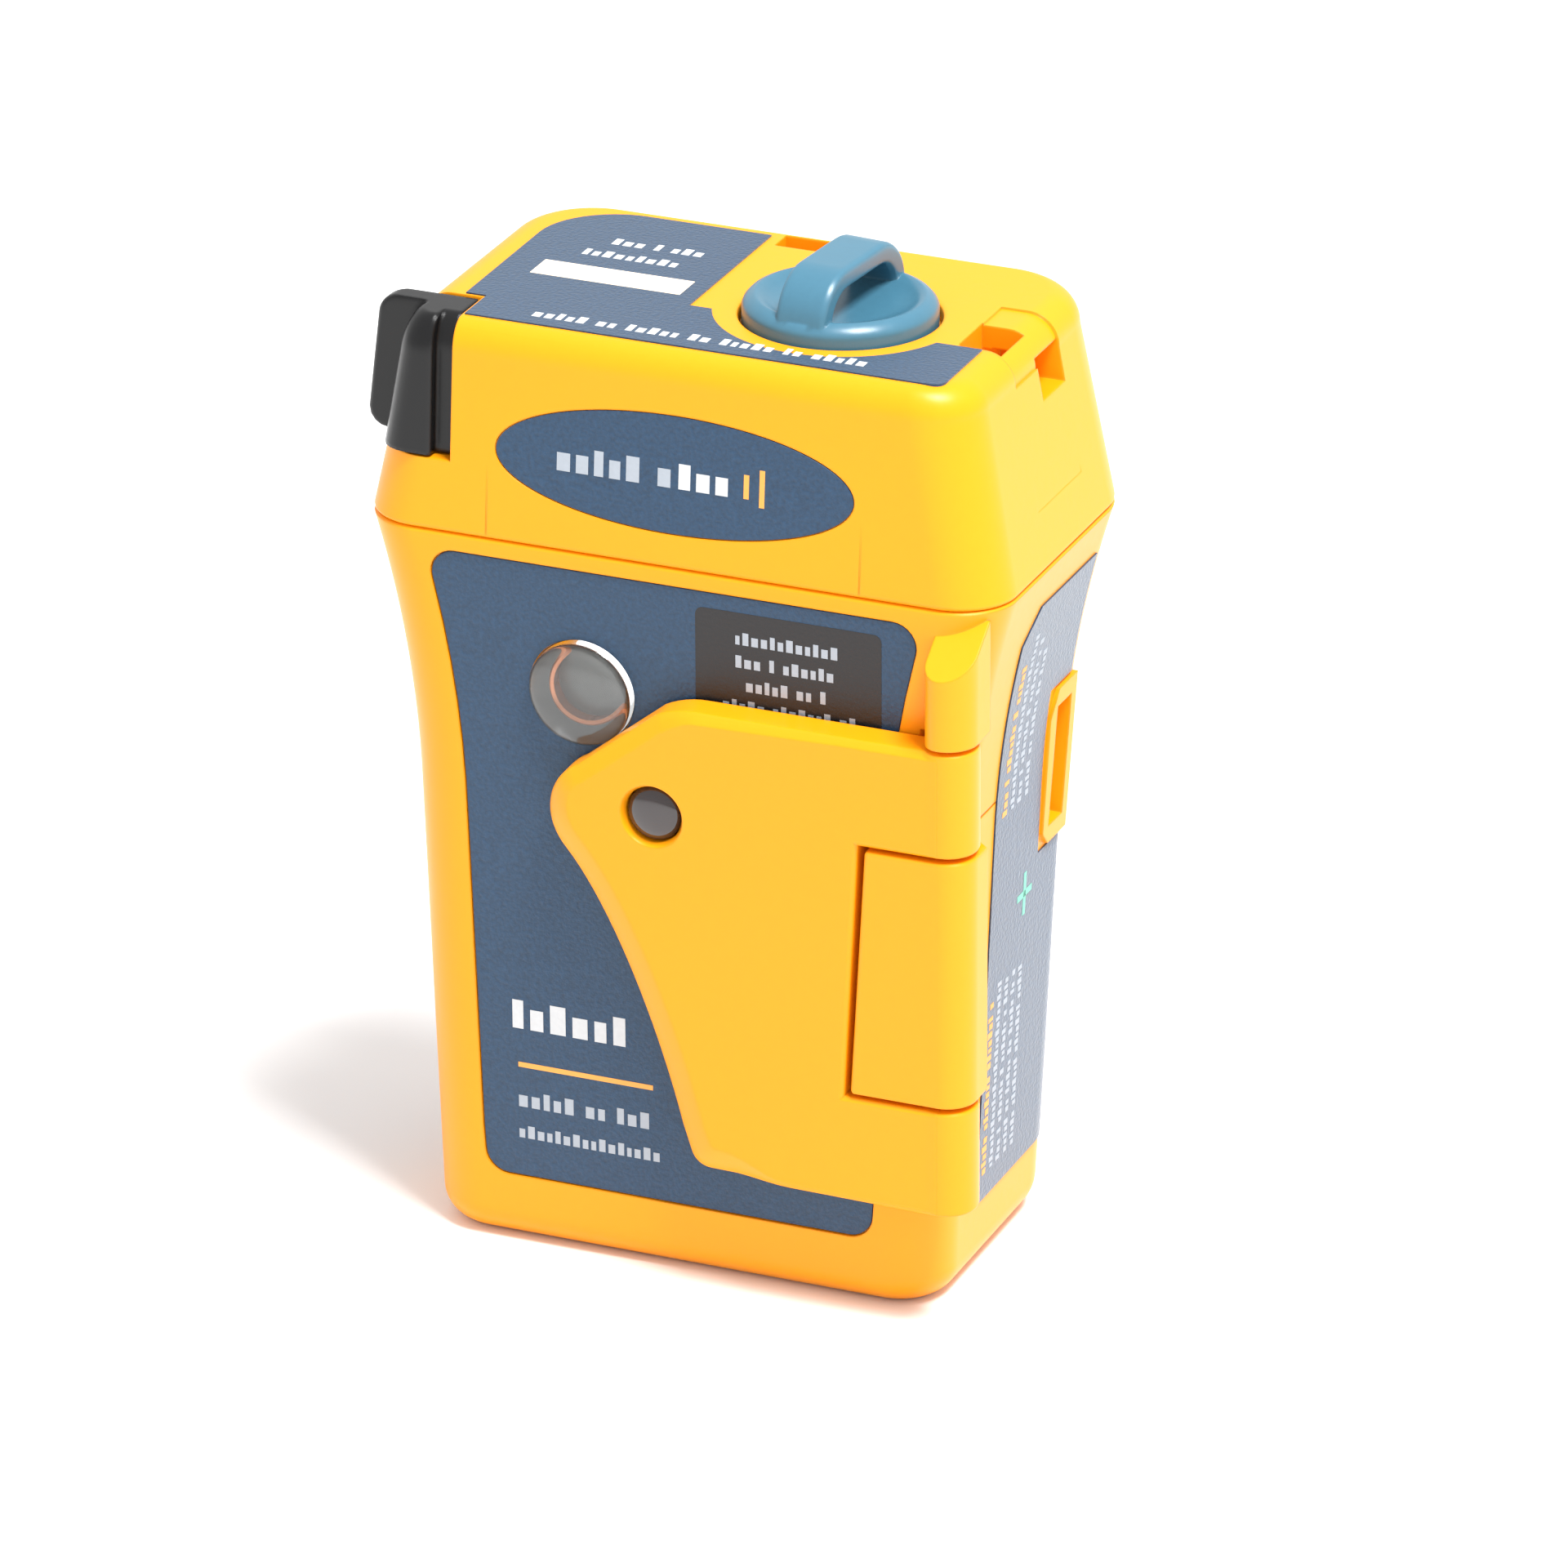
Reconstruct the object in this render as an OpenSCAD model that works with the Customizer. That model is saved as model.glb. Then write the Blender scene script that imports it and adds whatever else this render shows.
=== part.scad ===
// Pocket GPS distress beacon: two-shell case, sprung control flap, strobe and a tape antenna on a winder.
// Frame: origin at the centre of the base, +Z up, +X to the right as seen from the front, front faces -Y.

/* [Lower case] */
// Height of the seam between the lower case and the cap
seam_z = 56.5; // [54:0.5:60]
// Half width of the base
base_half_w = 20.2; // [19.8:0.1:21]
// Half depth of the base
base_half_d = 12.6; // [12.4:0.1:13]
// Half depth at the seam
seam_half_d = 14.6; // [14.5:0.1:15]
// Widening of each side per millimetre of height
side_taper = 0.033; // [0.03:0.001:0.036]
// Height above which the sides flare out
flare_start_z = 36; // [34:1:38]
// Extra half width that the flare adds at the seam
flare_w = 2.7; // [2.4:0.1:3]
// Wall thickness
wall = 1.7; // [1.6:0.1:1.8]
// Rounding of the bottom edge
base_fillet = 2.5; // [2:0.1:3]

/* [Cap] */
// Height of the flat deck
deck_z = 72.4; // [72:0.1:73]
// Inward lean of the cap's sides per millimetre of height
cap_side_lean = 0.17; // [0.15:0.01:0.19]
// Inward lean of the cap's front and back per millimetre of height
cap_face_lean = 0.05; // [0.04:0.01:0.06]

/* [Flap] */
// Thickness of the flap plate
flap_t = 2.75; // [2.6:0.05:2.9]
// Height of the flap's top edge along the front face
flap_top = 46.8; // [46.5:0.1:47]
// Height of the flap's bottom edge along the front face
flap_bottom = 10; // [9.5:0.1:10.5]
// Radius of the hinge knuckles
knuckle_r = 2.3; // [2.2:0.05:2.4]
// Radius of the hinge pin
pin_r = 0.8; // [0.7:0.05:0.9]

/* [Winder] */
// Distance of the winder's axis to the right of the centre
winder_x = 7.4; // [7:0.1:7.8]
// Distance of the winder's axis along Y
winder_y = -1; // [-1.3:0.1:-0.8]
// Radius of the winder knob
knob_r = 7.1; // [6.9:0.1:7.2]
// Height of the top of the knob's handle
handle_top_z = 77; // [76:0.1:78]
// Radius of the reel's flanges
reel_r = 9.6; // [9.3:0.1:9.7]

/* [Hidden] */
$fn = 48;

seam_half_w = base_half_w + side_taper * seam_z + flare_w;
front_r = 4.5;                 // plan rounding of the front corners
rear_r = 6;                    // plan rounding of the rear corners
deck_round_w = 2.4;            // deck edge rounding across the width
deck_round_d = 1.7;            // deck edge rounding across the depth
deck_round_h = 2.4;            // deck edge rounding in height
front_tilt = atan((seam_half_d - base_half_d) / seam_z);
corner_steps = 6;
label_t = 0.2;                 // thickness of the labels and depth of their pockets
clearance = 0.05;              // running clearance of pins and shafts, radial

hinge_x = 21.5;                // hinge axis in the front face's own frame
hinge_y = -0.7;
flap_back = -0.25;             // back of the flap, just clear of the front face
cover_z = [18.7, 38.3];        // span of the hinge cover between the flap's two knuckles
cover_left = 15.4;
pin_foot_z = flap_bottom + 1;
pin_top_z = 51.5;
spring_room = 3;                // height of the cover left solid at each end of the spring
knuckle_root_y = 1.4;          // how far the fixed upper knuckle reaches into the case
knuckle_gap = 0.3;             // between the knuckles along the pin
swing_gap = 0.5;               // beside the cover, so that the flap's edge swings past it
upper_knuckle_z = [47.1, 52.5, 54.6];  // foot, front edge of the slanted top and its rear edge

lens_pos = [-7.1, 45.6];
lens_r = 4;
window_pos = [-0.5, 38.2];
window_r = 2.1;
on_pos = [6.5, 31];
test_pos = [8.5, 20];
button_r = 3.2;
button_proud = 1.2;
button_room_x = [2.8, 13.4];   // pocket in the flap's back that clears the buttons
button_room_z = [14.4, 35.6];
button_room_depth = 1.45;

board_y = 6;                   // front of the board behind the front face
board_t = 1;
board_half_w = 17;
board_z = [6, 53];
board_screw_depth = 2.4;       // reach of the board screws into their posts
patch_x = [2.5, 15.5];         // GPS patch antenna
patch_z = [39.8, 52.8];
patch_y = 2.6;
shield_x = [-13, 0.5];
shield_y = 3;
shield_z = [12, 32];
shield_t = 0.3;
cradle_half_w = 15.4;
cradle_y = [-4.4, 10];
cradle_z = [1.9, 20];
cell_r = 7.8;
cell_len = 27;
cell_y = 2.8;
cell_x = 8;
cell_floor_z = 3.5;

notch = [-17.3, -8.3, 61.9];   // corner cut out of the cap for the antenna tab: right, rear and floor
notch_wall = 1.4;
tape_t = 0.3;
tape_z = [63, 69.4];
coil_r = 9.2;
hub_r = 4.6;
tape_y = winder_y - coil_r;
spindle_r = 2.2;
tray_z = 58.9;
tray_t = 1.2;
handle_w = 4;
handle_turn = 84.7;            // the handle's direction at rest, from the X axis
knob_base_z = 71.6;
knob_top_z = 73.9;
tray_screw_pos = [[-14, 7], [19, -9], [19, 8.8]];
board_screw_pos = [[-15, 36], [15, 36], [-15.5, 9], [15, 9]];
slot_z = [31, 43];             // clip sockets on the sides, with their raised frames
slot_y = [4.4, 9.2];
slot_rim = 1;
slot_floor_x = 20.6;
slot_proud = 0.35;
lanyard_x = [18.3, 21.3];      // eye for the lanyard, cut through the cap's right shoulder
lanyard_y = [-3.6, 4.6];        // length of the passage under the shoulder
lanyard_z = [67.6, 70.6];
lanyard_top_y = 1;             // rear end of the opening in the deck
lanyard_side_y = 0.2;          // front end of the opening in the side
groove_z = [70, 70.7];         // O-ring groove in the spindle
groove_depth = 0.5;

// ---------- shared shapes ----------

function half_w(z) = base_half_w + side_taper * z
    + flare_w * pow(max(0, z - flare_start_z) / (seam_z - flare_start_z), 2);
function half_d(z) = base_half_d + (seam_half_d - base_half_d) * z / seam_z;
function cap_half_w(z) = seam_half_w - cap_side_lean * (z - seam_z);
function cap_half_d(z) = seam_half_d - cap_face_lean * (z - seam_z);

// One quarter round of a plan outline, centred in the quadrant given by the signs
function corner(w, d, r, sx, sy, start, z) = [for (k = [0:corner_steps])
    let (a = start + 90 * k / corner_steps)
    [sx * (w - r) + r * cos(a), sy * (d - r) + r * sin(a), z]];

function plan_ring(w, d, rf, rr, z) = concat(
    corner(w, d, rr, 1, 1, 0, z), corner(w, d, rr, -1, 1, 90, z),
    corner(w, d, rf, -1, -1, 180, z), corner(w, d, rf, 1, -1, 270, z));

function inset_ring(w, d, inset, z) =
    plan_ring(w - inset, d - inset, max(front_r - inset, 0.6), max(rear_r - inset, 0.6), z);

wall_levels = [for (k = [0:10]) flare_start_z + (seam_z - flare_start_z) * k / 10];

// Case rings from the foot of the wall up to a height, set in from the outer surface
function case_rings(inset, floor_z) = concat(
    [inset_ring(half_w(floor_z), half_d(floor_z), inset, floor_z)],
    [for (z = wall_levels) inset_ring(half_w(z), half_d(z), inset, z)]);

base_rings = [for (t = [0:22.5:67.5])
    let (z = base_fillet * (1 - cos(t)))
    inset_ring(half_w(z), half_d(z), base_fillet * (1 - sin(t)), z)];

function cap_top_ring(inset, t) = let (
        drop = 1 - sin(t),
        z = deck_z - inset - deck_round_h * drop,
        pull = 1 - cos(t),
        w = cap_half_w(deck_z) - inset - deck_round_w * pull,
        d = cap_half_d(deck_z) - inset - deck_round_d * pull)
    plan_ring(w, d, max(front_r - inset - deck_round_d * pull, 0.6),
        max(rear_r - inset - deck_round_d * pull, 0.6), z);

function cap_rings(inset, from_z) = concat(
    [inset_ring(cap_half_w(from_z), cap_half_d(from_z), inset, from_z)],
    [for (t = [0:18:90]) cap_top_ring(inset, t)]);

// Closed solid through rings of equal length, lowest first
module loft(rings) {
    n = len(rings[0]);
    last = len(rings) - 1;
    points = [for (r = rings) each r];
    sides = [for (i = [0:last - 1], j = [0:n - 1])
        let (a = i * n + j, b = i * n + (j + 1) % n)
        each [[a, a + n, b + n], [a, b + n, b]]];
    floor_face = [[for (j = [0:n - 1]) j]];
    roof_face = [[for (j = [n - 1:-1:0]) last * n + j]];
    polyhedron(points, concat(floor_face, roof_face, sides));
}

// The front face's own frame: X across, Z up along the leaning face, Y into the case
module on_front() {
    translate([0, -base_half_d, 0]) rotate([front_tilt, 0, 0]) children();
}
module on_rear() {
    mirror([0, 1, 0]) on_front() children();
}
// Extrudes an outline drawn in X and Z from depth y0 to depth y1
module slab(y0, y1) {
    translate([0, y1, 0]) rotate([90, 0, 0]) linear_extrude(y1 - y0) children();
}
// Cylinder along the face's Y direction
module peg(pos, r, y0, y1) {
    translate([pos[0], y1, pos[1]]) rotate([90, 0, 0]) cylinder(r = r, h = y1 - y0);
}
module block(x, y, z) {
    translate([x[0], y[0], z[0]]) cube([x[1] - x[0], y[1] - y[0], z[1] - z[0]]);
}

function arc(c, r, a0, a1, n) = [for (k = [0:n]) let (a = a0 + (a1 - a0) * k / n) c + r * [cos(a), sin(a)]];
function curve(p, n) = [for (k = [1:n]) let (t = k / n, u = 1 - t)
    u * u * u * p[0] + 3 * u * u * t * p[1] + 3 * u * t * t * p[2] + t * t * t * p[3]];

// Front label outline: set in from the case's own silhouette, with rounded corners
label_margin = 5.1;
label_z = [5.6, 55.1];
function label_edge(z) = half_w(z) - label_margin;
module face_label_outline() {
    right = [for (z = [label_z[0] + 1.8, 22, 36, 42, 47, 51, label_z[1] - 1.8]) [label_edge(z), z]];
    half = concat(
        arc([label_edge(label_z[0]) - 1.8, label_z[0] + 1.8], 1.8, -90, -10, 4), right,
        arc([label_edge(label_z[1]) - 2.2, label_z[1] - 1.8], 1.8, 10, 90, 4));
    polygon(concat(half, [for (k = [len(half) - 1:-1:0]) [-half[k][0], half[k][1]]]));
}

// ---------- case shells ----------

module lower_case() {
    color([1, 0.75, 0.12]) difference() {
        loft(concat(base_rings, case_rings(0, base_fillet)));
        loft(concat(case_rings(wall, wall), [inset_ring(seam_half_w, seam_half_d, wall, seam_z + 1)]));
        on_front() {
            slab(-1, label_t) face_label_outline();
            peg(lens_pos, lens_r + clearance, -1, 4);
            peg(window_pos, 1.45, -1, 4);
            peg(on_pos, button_r + 0.1, -1, 4);
            peg(test_pos, button_r + 0.1, -1, 4);
            translate([hinge_x, hinge_y, flap_bottom - 0.3])
                cylinder(r = knuckle_r + 0.3, h = flap_top + 0.3 - flap_bottom + 0.3);
            block([19, 30], [-4, 2], cover_z);
            block([19, 30], [-4, knuckle_root_y], upper_knuckle_z);
        }
        on_rear() slab(-1, label_t) face_label_outline();
        for (s = [0, 1]) mirror([s, 0, 0]) clip_socket();
    }
    for (s = [0, 1]) mirror([s, 0, 0]) difference() {
        intersection() {
            loft(case_rings(-slot_proud, slot_z[0] - 5));
            block([slot_floor_x, 30], slot_y, slot_z);
        }
        clip_socket();
    }
}
module clip_socket() {
    block([slot_floor_x, 30], [slot_y[0] + slot_rim, slot_y[1] - slot_rim],
        [slot_z[0] + slot_rim, slot_z[1] - slot_rim]);
}

module upper_case() {
    color([1, 0.76, 0.13]) difference() {
        union() {
            difference() {
                loft(cap_rings(0, seam_z));
                loft(cap_rings(wall, seam_z - 0.01));
            }
            intersection() {
                loft(cap_rings(0.2, seam_z));
                union() {
                    block([-40, notch[0] + notch_wall], [-30, notch[1] + notch_wall],
                        [notch[2] - notch_wall, 90]);
                    block([lanyard_x[0] - 1, 40], [lanyard_y[0] - 1.2, lanyard_y[1] + 1.2],
                        [lanyard_z[0] - 1.4, 90]);
                    block([-3.4, 3.6], [9, 30], [68, 90]);
                    for (p = tray_screw_pos) translate([p[0], p[1], tray_z + tray_t])
                        cylinder(r = 1.9, h = 20);
                }
            }
            difference() {
                loft([inset_ring(half_w(54.6), half_d(54.6), wall + 0.12, 54.6),
                    inset_ring(seam_half_w, seam_half_d, wall + 0.12, seam_z + 0.5)]);
                loft([inset_ring(half_w(54.6), half_d(54.6), wall + 1.5, 54.5),
                    inset_ring(seam_half_w, seam_half_d, wall + 1.5, seam_z + 0.6)]);
                loft([inset_ring(half_w(55.1), half_d(55.1), wall - 0.5, 55.1),
                    inset_ring(half_w(56), half_d(56), wall - 0.5, 56)]);
            }
            difference() {
                loft([inset_ring(half_w(55.1), half_d(55.1), wall + 0.8, 55),
                    inset_ring(half_w(56), half_d(56), wall + 0.8, 56.1)]);
                loft([inset_ring(half_w(55.1), half_d(55.1), wall + 1.5, 54.9),
                    inset_ring(half_w(56), half_d(56), wall + 1.5, 56.2)]);
            }
            translate([winder_x, winder_y, groove_z[0] - 0.65]) cylinder(r = 3.8, h = 1.4);
        }
        translate([winder_x, winder_y, knob_base_z - 0.2]) cylinder(r = knob_r + 0.2, h = 10);
        translate([winder_x, winder_y, 60]) cylinder(r = spindle_r + clearance, h = 20);
        block([-40, notch[0]], [-30, notch[1]], [notch[2], 90]);
        block([notch[0] - 1, notch[0] + 2], [tape_y - 0.4, tape_y + 0.4], [tape_z[0] - 0.4, tape_z[1] + 0.4]);
        block(lanyard_x, [lanyard_y[0], lanyard_top_y], [lanyard_z[0], 90]);
        block(lanyard_x, lanyard_y, lanyard_z);
        block([lanyard_x[0], 40], [lanyard_side_y, lanyard_y[1]], lanyard_z);
        block([-2.1, 2.3], [10.2, 12.1], [69.2, 90]);
        for (p = tray_screw_pos) translate([p[0], p[1], 60]) cylinder(r = 0.8, h = 6);
    }
}

module case_gasket() {
    color([0.15, 0.15, 0.15]) difference() {
        loft([inset_ring(half_w(55.3), half_d(55.3), wall + 0.04, 55.25),
            inset_ring(half_w(55.85), half_d(55.85), wall + 0.04, 55.85)]);
        loft([inset_ring(half_w(55.3), half_d(55.3), wall + 0.76, 55),
            inset_ring(half_w(55.85), half_d(55.85), wall + 0.76, 56)]);
    }
}

// ---------- labels ----------

module front_label() {
    color([0.24, 0.33, 0.43]) on_front() difference() {
        slab(0, label_t) face_label_outline();
        peg(lens_pos, lens_r + 0.15, -1, 1);
        peg(window_pos, 1.6, -1, 1);
        peg(on_pos, button_r + 0.3, -1, 1);
        peg(test_pos, button_r + 0.3, -1, 1);
        block([cover_left - 0.2, 30], [-1, 1], [cover_z[0] - 0.2, cover_z[1] + 0.2]);
    }
}
module rear_label() {
    color([0.24, 0.33, 0.43]) on_rear() slab(0, label_t) face_label_outline();
}

// Thin label that follows the curved side of the case
module side_label() {
    levels = [for (z = [6, 20, flare_start_z, 40.1, 44.2, 48.3, 52.4]) z];
    n = len(levels);
    y = [-5.2, 7.6];
    points = [for (z = levels, o = [0.03, label_t], j = [0, 1]) [half_w(z) + o, y[j], z]];
    // Each level holds inner front, inner rear, outer front and outer rear
    skin = [for (i = [0:n - 2]) let (a = 4 * i, b = a + 4) each [
        [a, a + 1, b + 1], [a, b + 1, b], [a + 2, b + 2, b + 3], [a + 2, b + 3, a + 3],
        [a, b, b + 2], [a, b + 2, a + 2], [a + 1, a + 3, b + 3], [a + 1, b + 3, b + 1]]];
    top = 4 * (n - 1);
    difference() {
        polyhedron(points, concat([[0, 2, 3, 1], [top, top + 1, top + 3, top + 2]], skin));
        block([19, 30], [slot_y[0] - 0.2, 20], [slot_z[0] - 0.2, slot_z[1] + 0.2]);
    }
}
module side_label_right() {
    color([0.27, 0.36, 0.46]) side_label();
}
module side_label_left() {
    color([0.27, 0.36, 0.46]) mirror([1, 0, 0]) side_label();
}

// Deck label: a left panel, a strip along the front edge and a round bite for the knob
module deck_label() {
    color([0.27, 0.36, 0.46]) difference() {
        translate([0, 0, deck_z]) linear_extrude(label_t) polygon(concat(
            [[notch[0] + 0.2, -12], [19.5, -12], [19.5, -4.2], [-3, -4.2], [-3, 11.5]],
            arc([-12.8, 5.5], 6, 90, 180, 6), [[-18.6, notch[1] + 0.2], [notch[0] + 0.2, notch[1] + 0.2]]));
        translate([winder_x, winder_y, deck_z - 1]) cylinder(r = 9, h = 3);
    }
}

badge_z = 63.5;
module cap_badge() {
    color([0.24, 0.33, 0.43])
        translate([0, -cap_half_d(badge_z), badge_z]) rotate([90 - atan(cap_face_lean), 0, 0])
            translate([0, 0, 0.02]) intersection() {
                linear_extrude(label_t) polygon([for (a = [0:7.5:352.5]) [13.75 * cos(a), 4.4 * sin(a)]]);
                translate([-20, -20, -1]) cube([40, 40, 3]);
            }
}

// ---------- lights ----------

module strobe_lens() {
    color([0.8, 0.82, 0.85, 0.5]) on_front() translate([lens_pos[0], 0, lens_pos[1]]) rotate([90, 0, 0])
        rotate_extrude() polygon(concat([[0, -1], [0, 1.5]],
            [for (a = [80:-10:10]) [lens_r * cos(a), 1.5 * sin(a)]],
            [[lens_r, -wall - 0.05], [lens_r + 0.7, -wall - 0.05], [lens_r + 0.7, -wall - 0.8],
            [3, -wall - 0.8], [3, -1]]));
}
module strobe_led() {
    color([0.95, 0.93, 0.8]) on_front() {
        block([lens_pos[0] - 2, lens_pos[0] + 2], [3.2, board_y], [lens_pos[1] - 2, lens_pos[1] + 2]);
        peg(lens_pos, 1.4, 2.7, 3.2);
    }
}
module status_light_pipe() {
    color([0.85, 0.87, 0.88, 0.6]) on_front() union() {
        peg(window_pos, 1.4, 0, 4.6);
        peg(window_pos, 1.9, wall + 0.05, 2.4);
    }
}
module status_led() {
    color([0.9, 0.9, 0.85]) on_front()
        block([window_pos[0] - 0.8, window_pos[0] + 0.8], [4.8, board_y],
            [window_pos[1] - 0.8, window_pos[1] + 0.8]);
}

// ---------- flap and hinge ----------

// Flap outline: straight top, slanted shoulder, round thumb tip, swept left edge and square bottom
tip = [-4.3, 37];
tip_r = 4.6;
shoulder_angle = 118;
sweep_angle = 221;
function flap_outline() = let (
        sweep_from = tip + tip_r * [cos(sweep_angle), sin(sweep_angle)],
        sweep_to = [1.5, flap_bottom + 2])
    concat([[hinge_x, flap_top]], arc([2.9, flap_top - 7], 7, 90, shoulder_angle, 4),
        arc(tip, tip_r, shoulder_angle, sweep_angle, 10),
        curve([sweep_from, sweep_from + [3.5, -4.1], [-0.5, 20.5], sweep_to], 10),
        arc([3.4, flap_bottom + 1.6], 1.6, 195, 270, 4), [[hinge_x, flap_bottom]]);

module flap() {
    color([1, 0.76, 0.14]) on_front() difference() {
        union() {
            slab(flap_back - flap_t, flap_back) polygon(flap_outline());
            translate([hinge_x, hinge_y, flap_bottom]) cylinder(r = knuckle_r, h = flap_top - flap_bottom);
        }
        block([cover_left - swing_gap, 30], [-6, 6], [cover_z[0] - knuckle_gap, cover_z[1] + knuckle_gap]);
        translate([hinge_x, hinge_y, 0]) cylinder(r = pin_r + clearance, h = 60);
        block(button_room_x, [flap_back - button_room_depth, 1], button_room_z);
        peg(window_pos, window_r, -10, 1);
    }
}
module flap_window() {
    color([0.25, 0.2, 0.2, 0.7]) on_front() peg(window_pos, window_r - 0.02, -2.4, -0.9);
}

// Hinge cover: the fixed middle knuckle, flush with the flap, wrapped round the case corner
module hinge_cover() {
    color([1, 0.76, 0.14]) on_front() difference() {
        translate([0, 0, cover_z[0]]) linear_extrude(cover_z[1] - cover_z[0]) polygon(concat(
            [[cover_left, flap_back - flap_t]],
            arc([hinge_x, hinge_y], knuckle_r, -90, 0, 8),
            [[hinge_x + knuckle_r, 1.2], [hinge_x + 1.4, 2], [19, 2], [19, -0.02], [cover_left, -0.02]]));
        translate([hinge_x, hinge_y, 0]) cylinder(r = pin_r + clearance, h = 60);
        translate([hinge_x, hinge_y, cover_z[0] + spring_room])
            cylinder(r = 1.75, h = cover_z[1] - cover_z[0] - 2 * spring_room);
    }
}
module hinge_pin() {
    color([0.75, 0.76, 0.78]) on_front() translate([hinge_x, hinge_y, pin_foot_z])
        cylinder(r = pin_r, h = pin_top_z - pin_foot_z);
}
// Return spring on the pin: close turns drawn as one ridged sleeve
module flap_spring() {
    turns = 14;
    pitch = (cover_z[1] - cover_z[0] - 2 * spring_room - 1) / turns;
    color([0.8, 0.8, 0.82]) on_front() translate([hinge_x, hinge_y, cover_z[0] + spring_room + 0.5])
        rotate_extrude()
        polygon(concat([[1, turns * pitch], [1, 0]],
            [for (k = [0:turns - 1]) each [[1.4, pitch * k], [1.65, pitch * (k + 0.5)]]],
            [[1.4, turns * pitch]]));
}
module upper_knuckle() {
    on_front() difference() {
        translate([0, 0, upper_knuckle_z[0]]) linear_extrude(upper_knuckle_z[2] - upper_knuckle_z[0])
            polygon(concat([[20, flap_back - flap_t]], arc([hinge_x, hinge_y], knuckle_r, -90, 0, 8),
                [[hinge_x + knuckle_r, knuckle_root_y], [19, knuckle_root_y], [19, 0], [20, 0]]));
        translate([10, flap_back - flap_t, upper_knuckle_z[1]])
            rotate([atan((upper_knuckle_z[2] - upper_knuckle_z[1]) / (flap_t - flap_back)), 0, 0])
                translate([0, -5, 0]) cube(20);
        translate([hinge_x, hinge_y, 0]) cylinder(r = pin_r + clearance, h = pin_top_z + 0.1);
    }
}

// ---------- controls ----------

module push_button(pos) {
    on_front() union() {
        peg(pos, button_r, -button_proud, 1.9);
        peg(pos, button_r + 0.7, 1.8, 2.1);
        peg(pos, 1, 2, 4.7);
    }
}
module on_button() {
    color([0.8, 0.15, 0.12]) push_button(on_pos);
}
module test_button() {
    color([0.2, 0.22, 0.24]) push_button(test_pos);
}
module button_membrane() {
    color([0.3, 0.3, 0.3]) on_front() difference() {
        block([1.5, 12.9], [2.75, 3.15], [14.5, 37]);
        peg(on_pos, 1.15, 0, 5);
        peg(test_pos, 1.15, 0, 5);
    }
}
module dome_switches() {
    color([0.8, 0.78, 0.7]) on_front() for (p = [on_pos, test_pos]) peg(p, 2.4, 5.4, board_y);
}

// ---------- electronics ----------

module main_board() {
    color([0.1, 0.4, 0.2]) on_front() difference() {
        block([-board_half_w, board_half_w], [board_y, board_y + board_t], board_z);
        for (p = board_screw_pos) peg(p, 1.05, 0, 20);
    }
}
module board_screws() {
    color([0.75, 0.76, 0.78]) on_front() for (p = board_screw_pos) union() {
        peg(p, 1, board_y - board_screw_depth, board_y + board_t + 0.1);
        peg(p, 1.8, board_y + board_t, board_y + board_t + 0.9);
    }
}
module board_posts() {
    on_front() for (p = board_screw_pos) difference() {
        peg(p, 1.9, wall - 0.2, board_y);
        peg(p, 1, board_y - board_screw_depth, 20);
    }
}
module gps_antenna() {
    color([0.85, 0.8, 0.7]) on_front() {
        block(patch_x, [patch_y, board_y], patch_z);
        block([patch_x[0] + 1.5, patch_x[1] - 1.5], [patch_y - 0.2, patch_y],
            [patch_z[0] + 1.5, patch_z[1] - 1.5]);
    }
}
module shield_can() {
    color([0.78, 0.79, 0.8]) on_front() difference() {
        block(shield_x, [shield_y, board_y], shield_z);
        block([shield_x[0] + shield_t, shield_x[1] - shield_t], [shield_y + shield_t, 20],
            [shield_z[0] + shield_t, shield_z[1] - shield_t]);
    }
}
module cell() {
    cylinder(r = cell_r, h = cell_len - 0.8);
    translate([0, 0, cell_len - 0.81]) cylinder(r = 3, h = 0.81);
}
module battery_cell_left() {
    color([0.85, 0.85, 0.3]) translate([-cell_x, cell_y, cell_floor_z]) cell();
}
module battery_cell_right() {
    color([0.85, 0.85, 0.3]) translate([cell_x, cell_y, cell_floor_z]) cell();
}
module battery_cell_cross() {
    color([0.85, 0.85, 0.3]) translate([-cell_len / 2, cell_y, cell_floor_z + cell_len + cell_r + 0.3])
        rotate([0, 90, 0]) cell();
}
module battery_cradle() {
    color([0.12, 0.12, 0.13]) difference() {
        block([-cradle_half_w, cradle_half_w], cradle_y, cradle_z);
        for (s = [-1, 1]) translate([s * cell_x, cell_y, cell_floor_z - 0.1])
            cylinder(r = cell_r + 0.1, h = 40);
        for (s = [0, 1]) mirror([s, 0, 0]) block([cell_x + 1, 20], [-10, 20], [cell_floor_z + 4, 30]);
    }
}

// ---------- winder and antenna ----------

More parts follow.
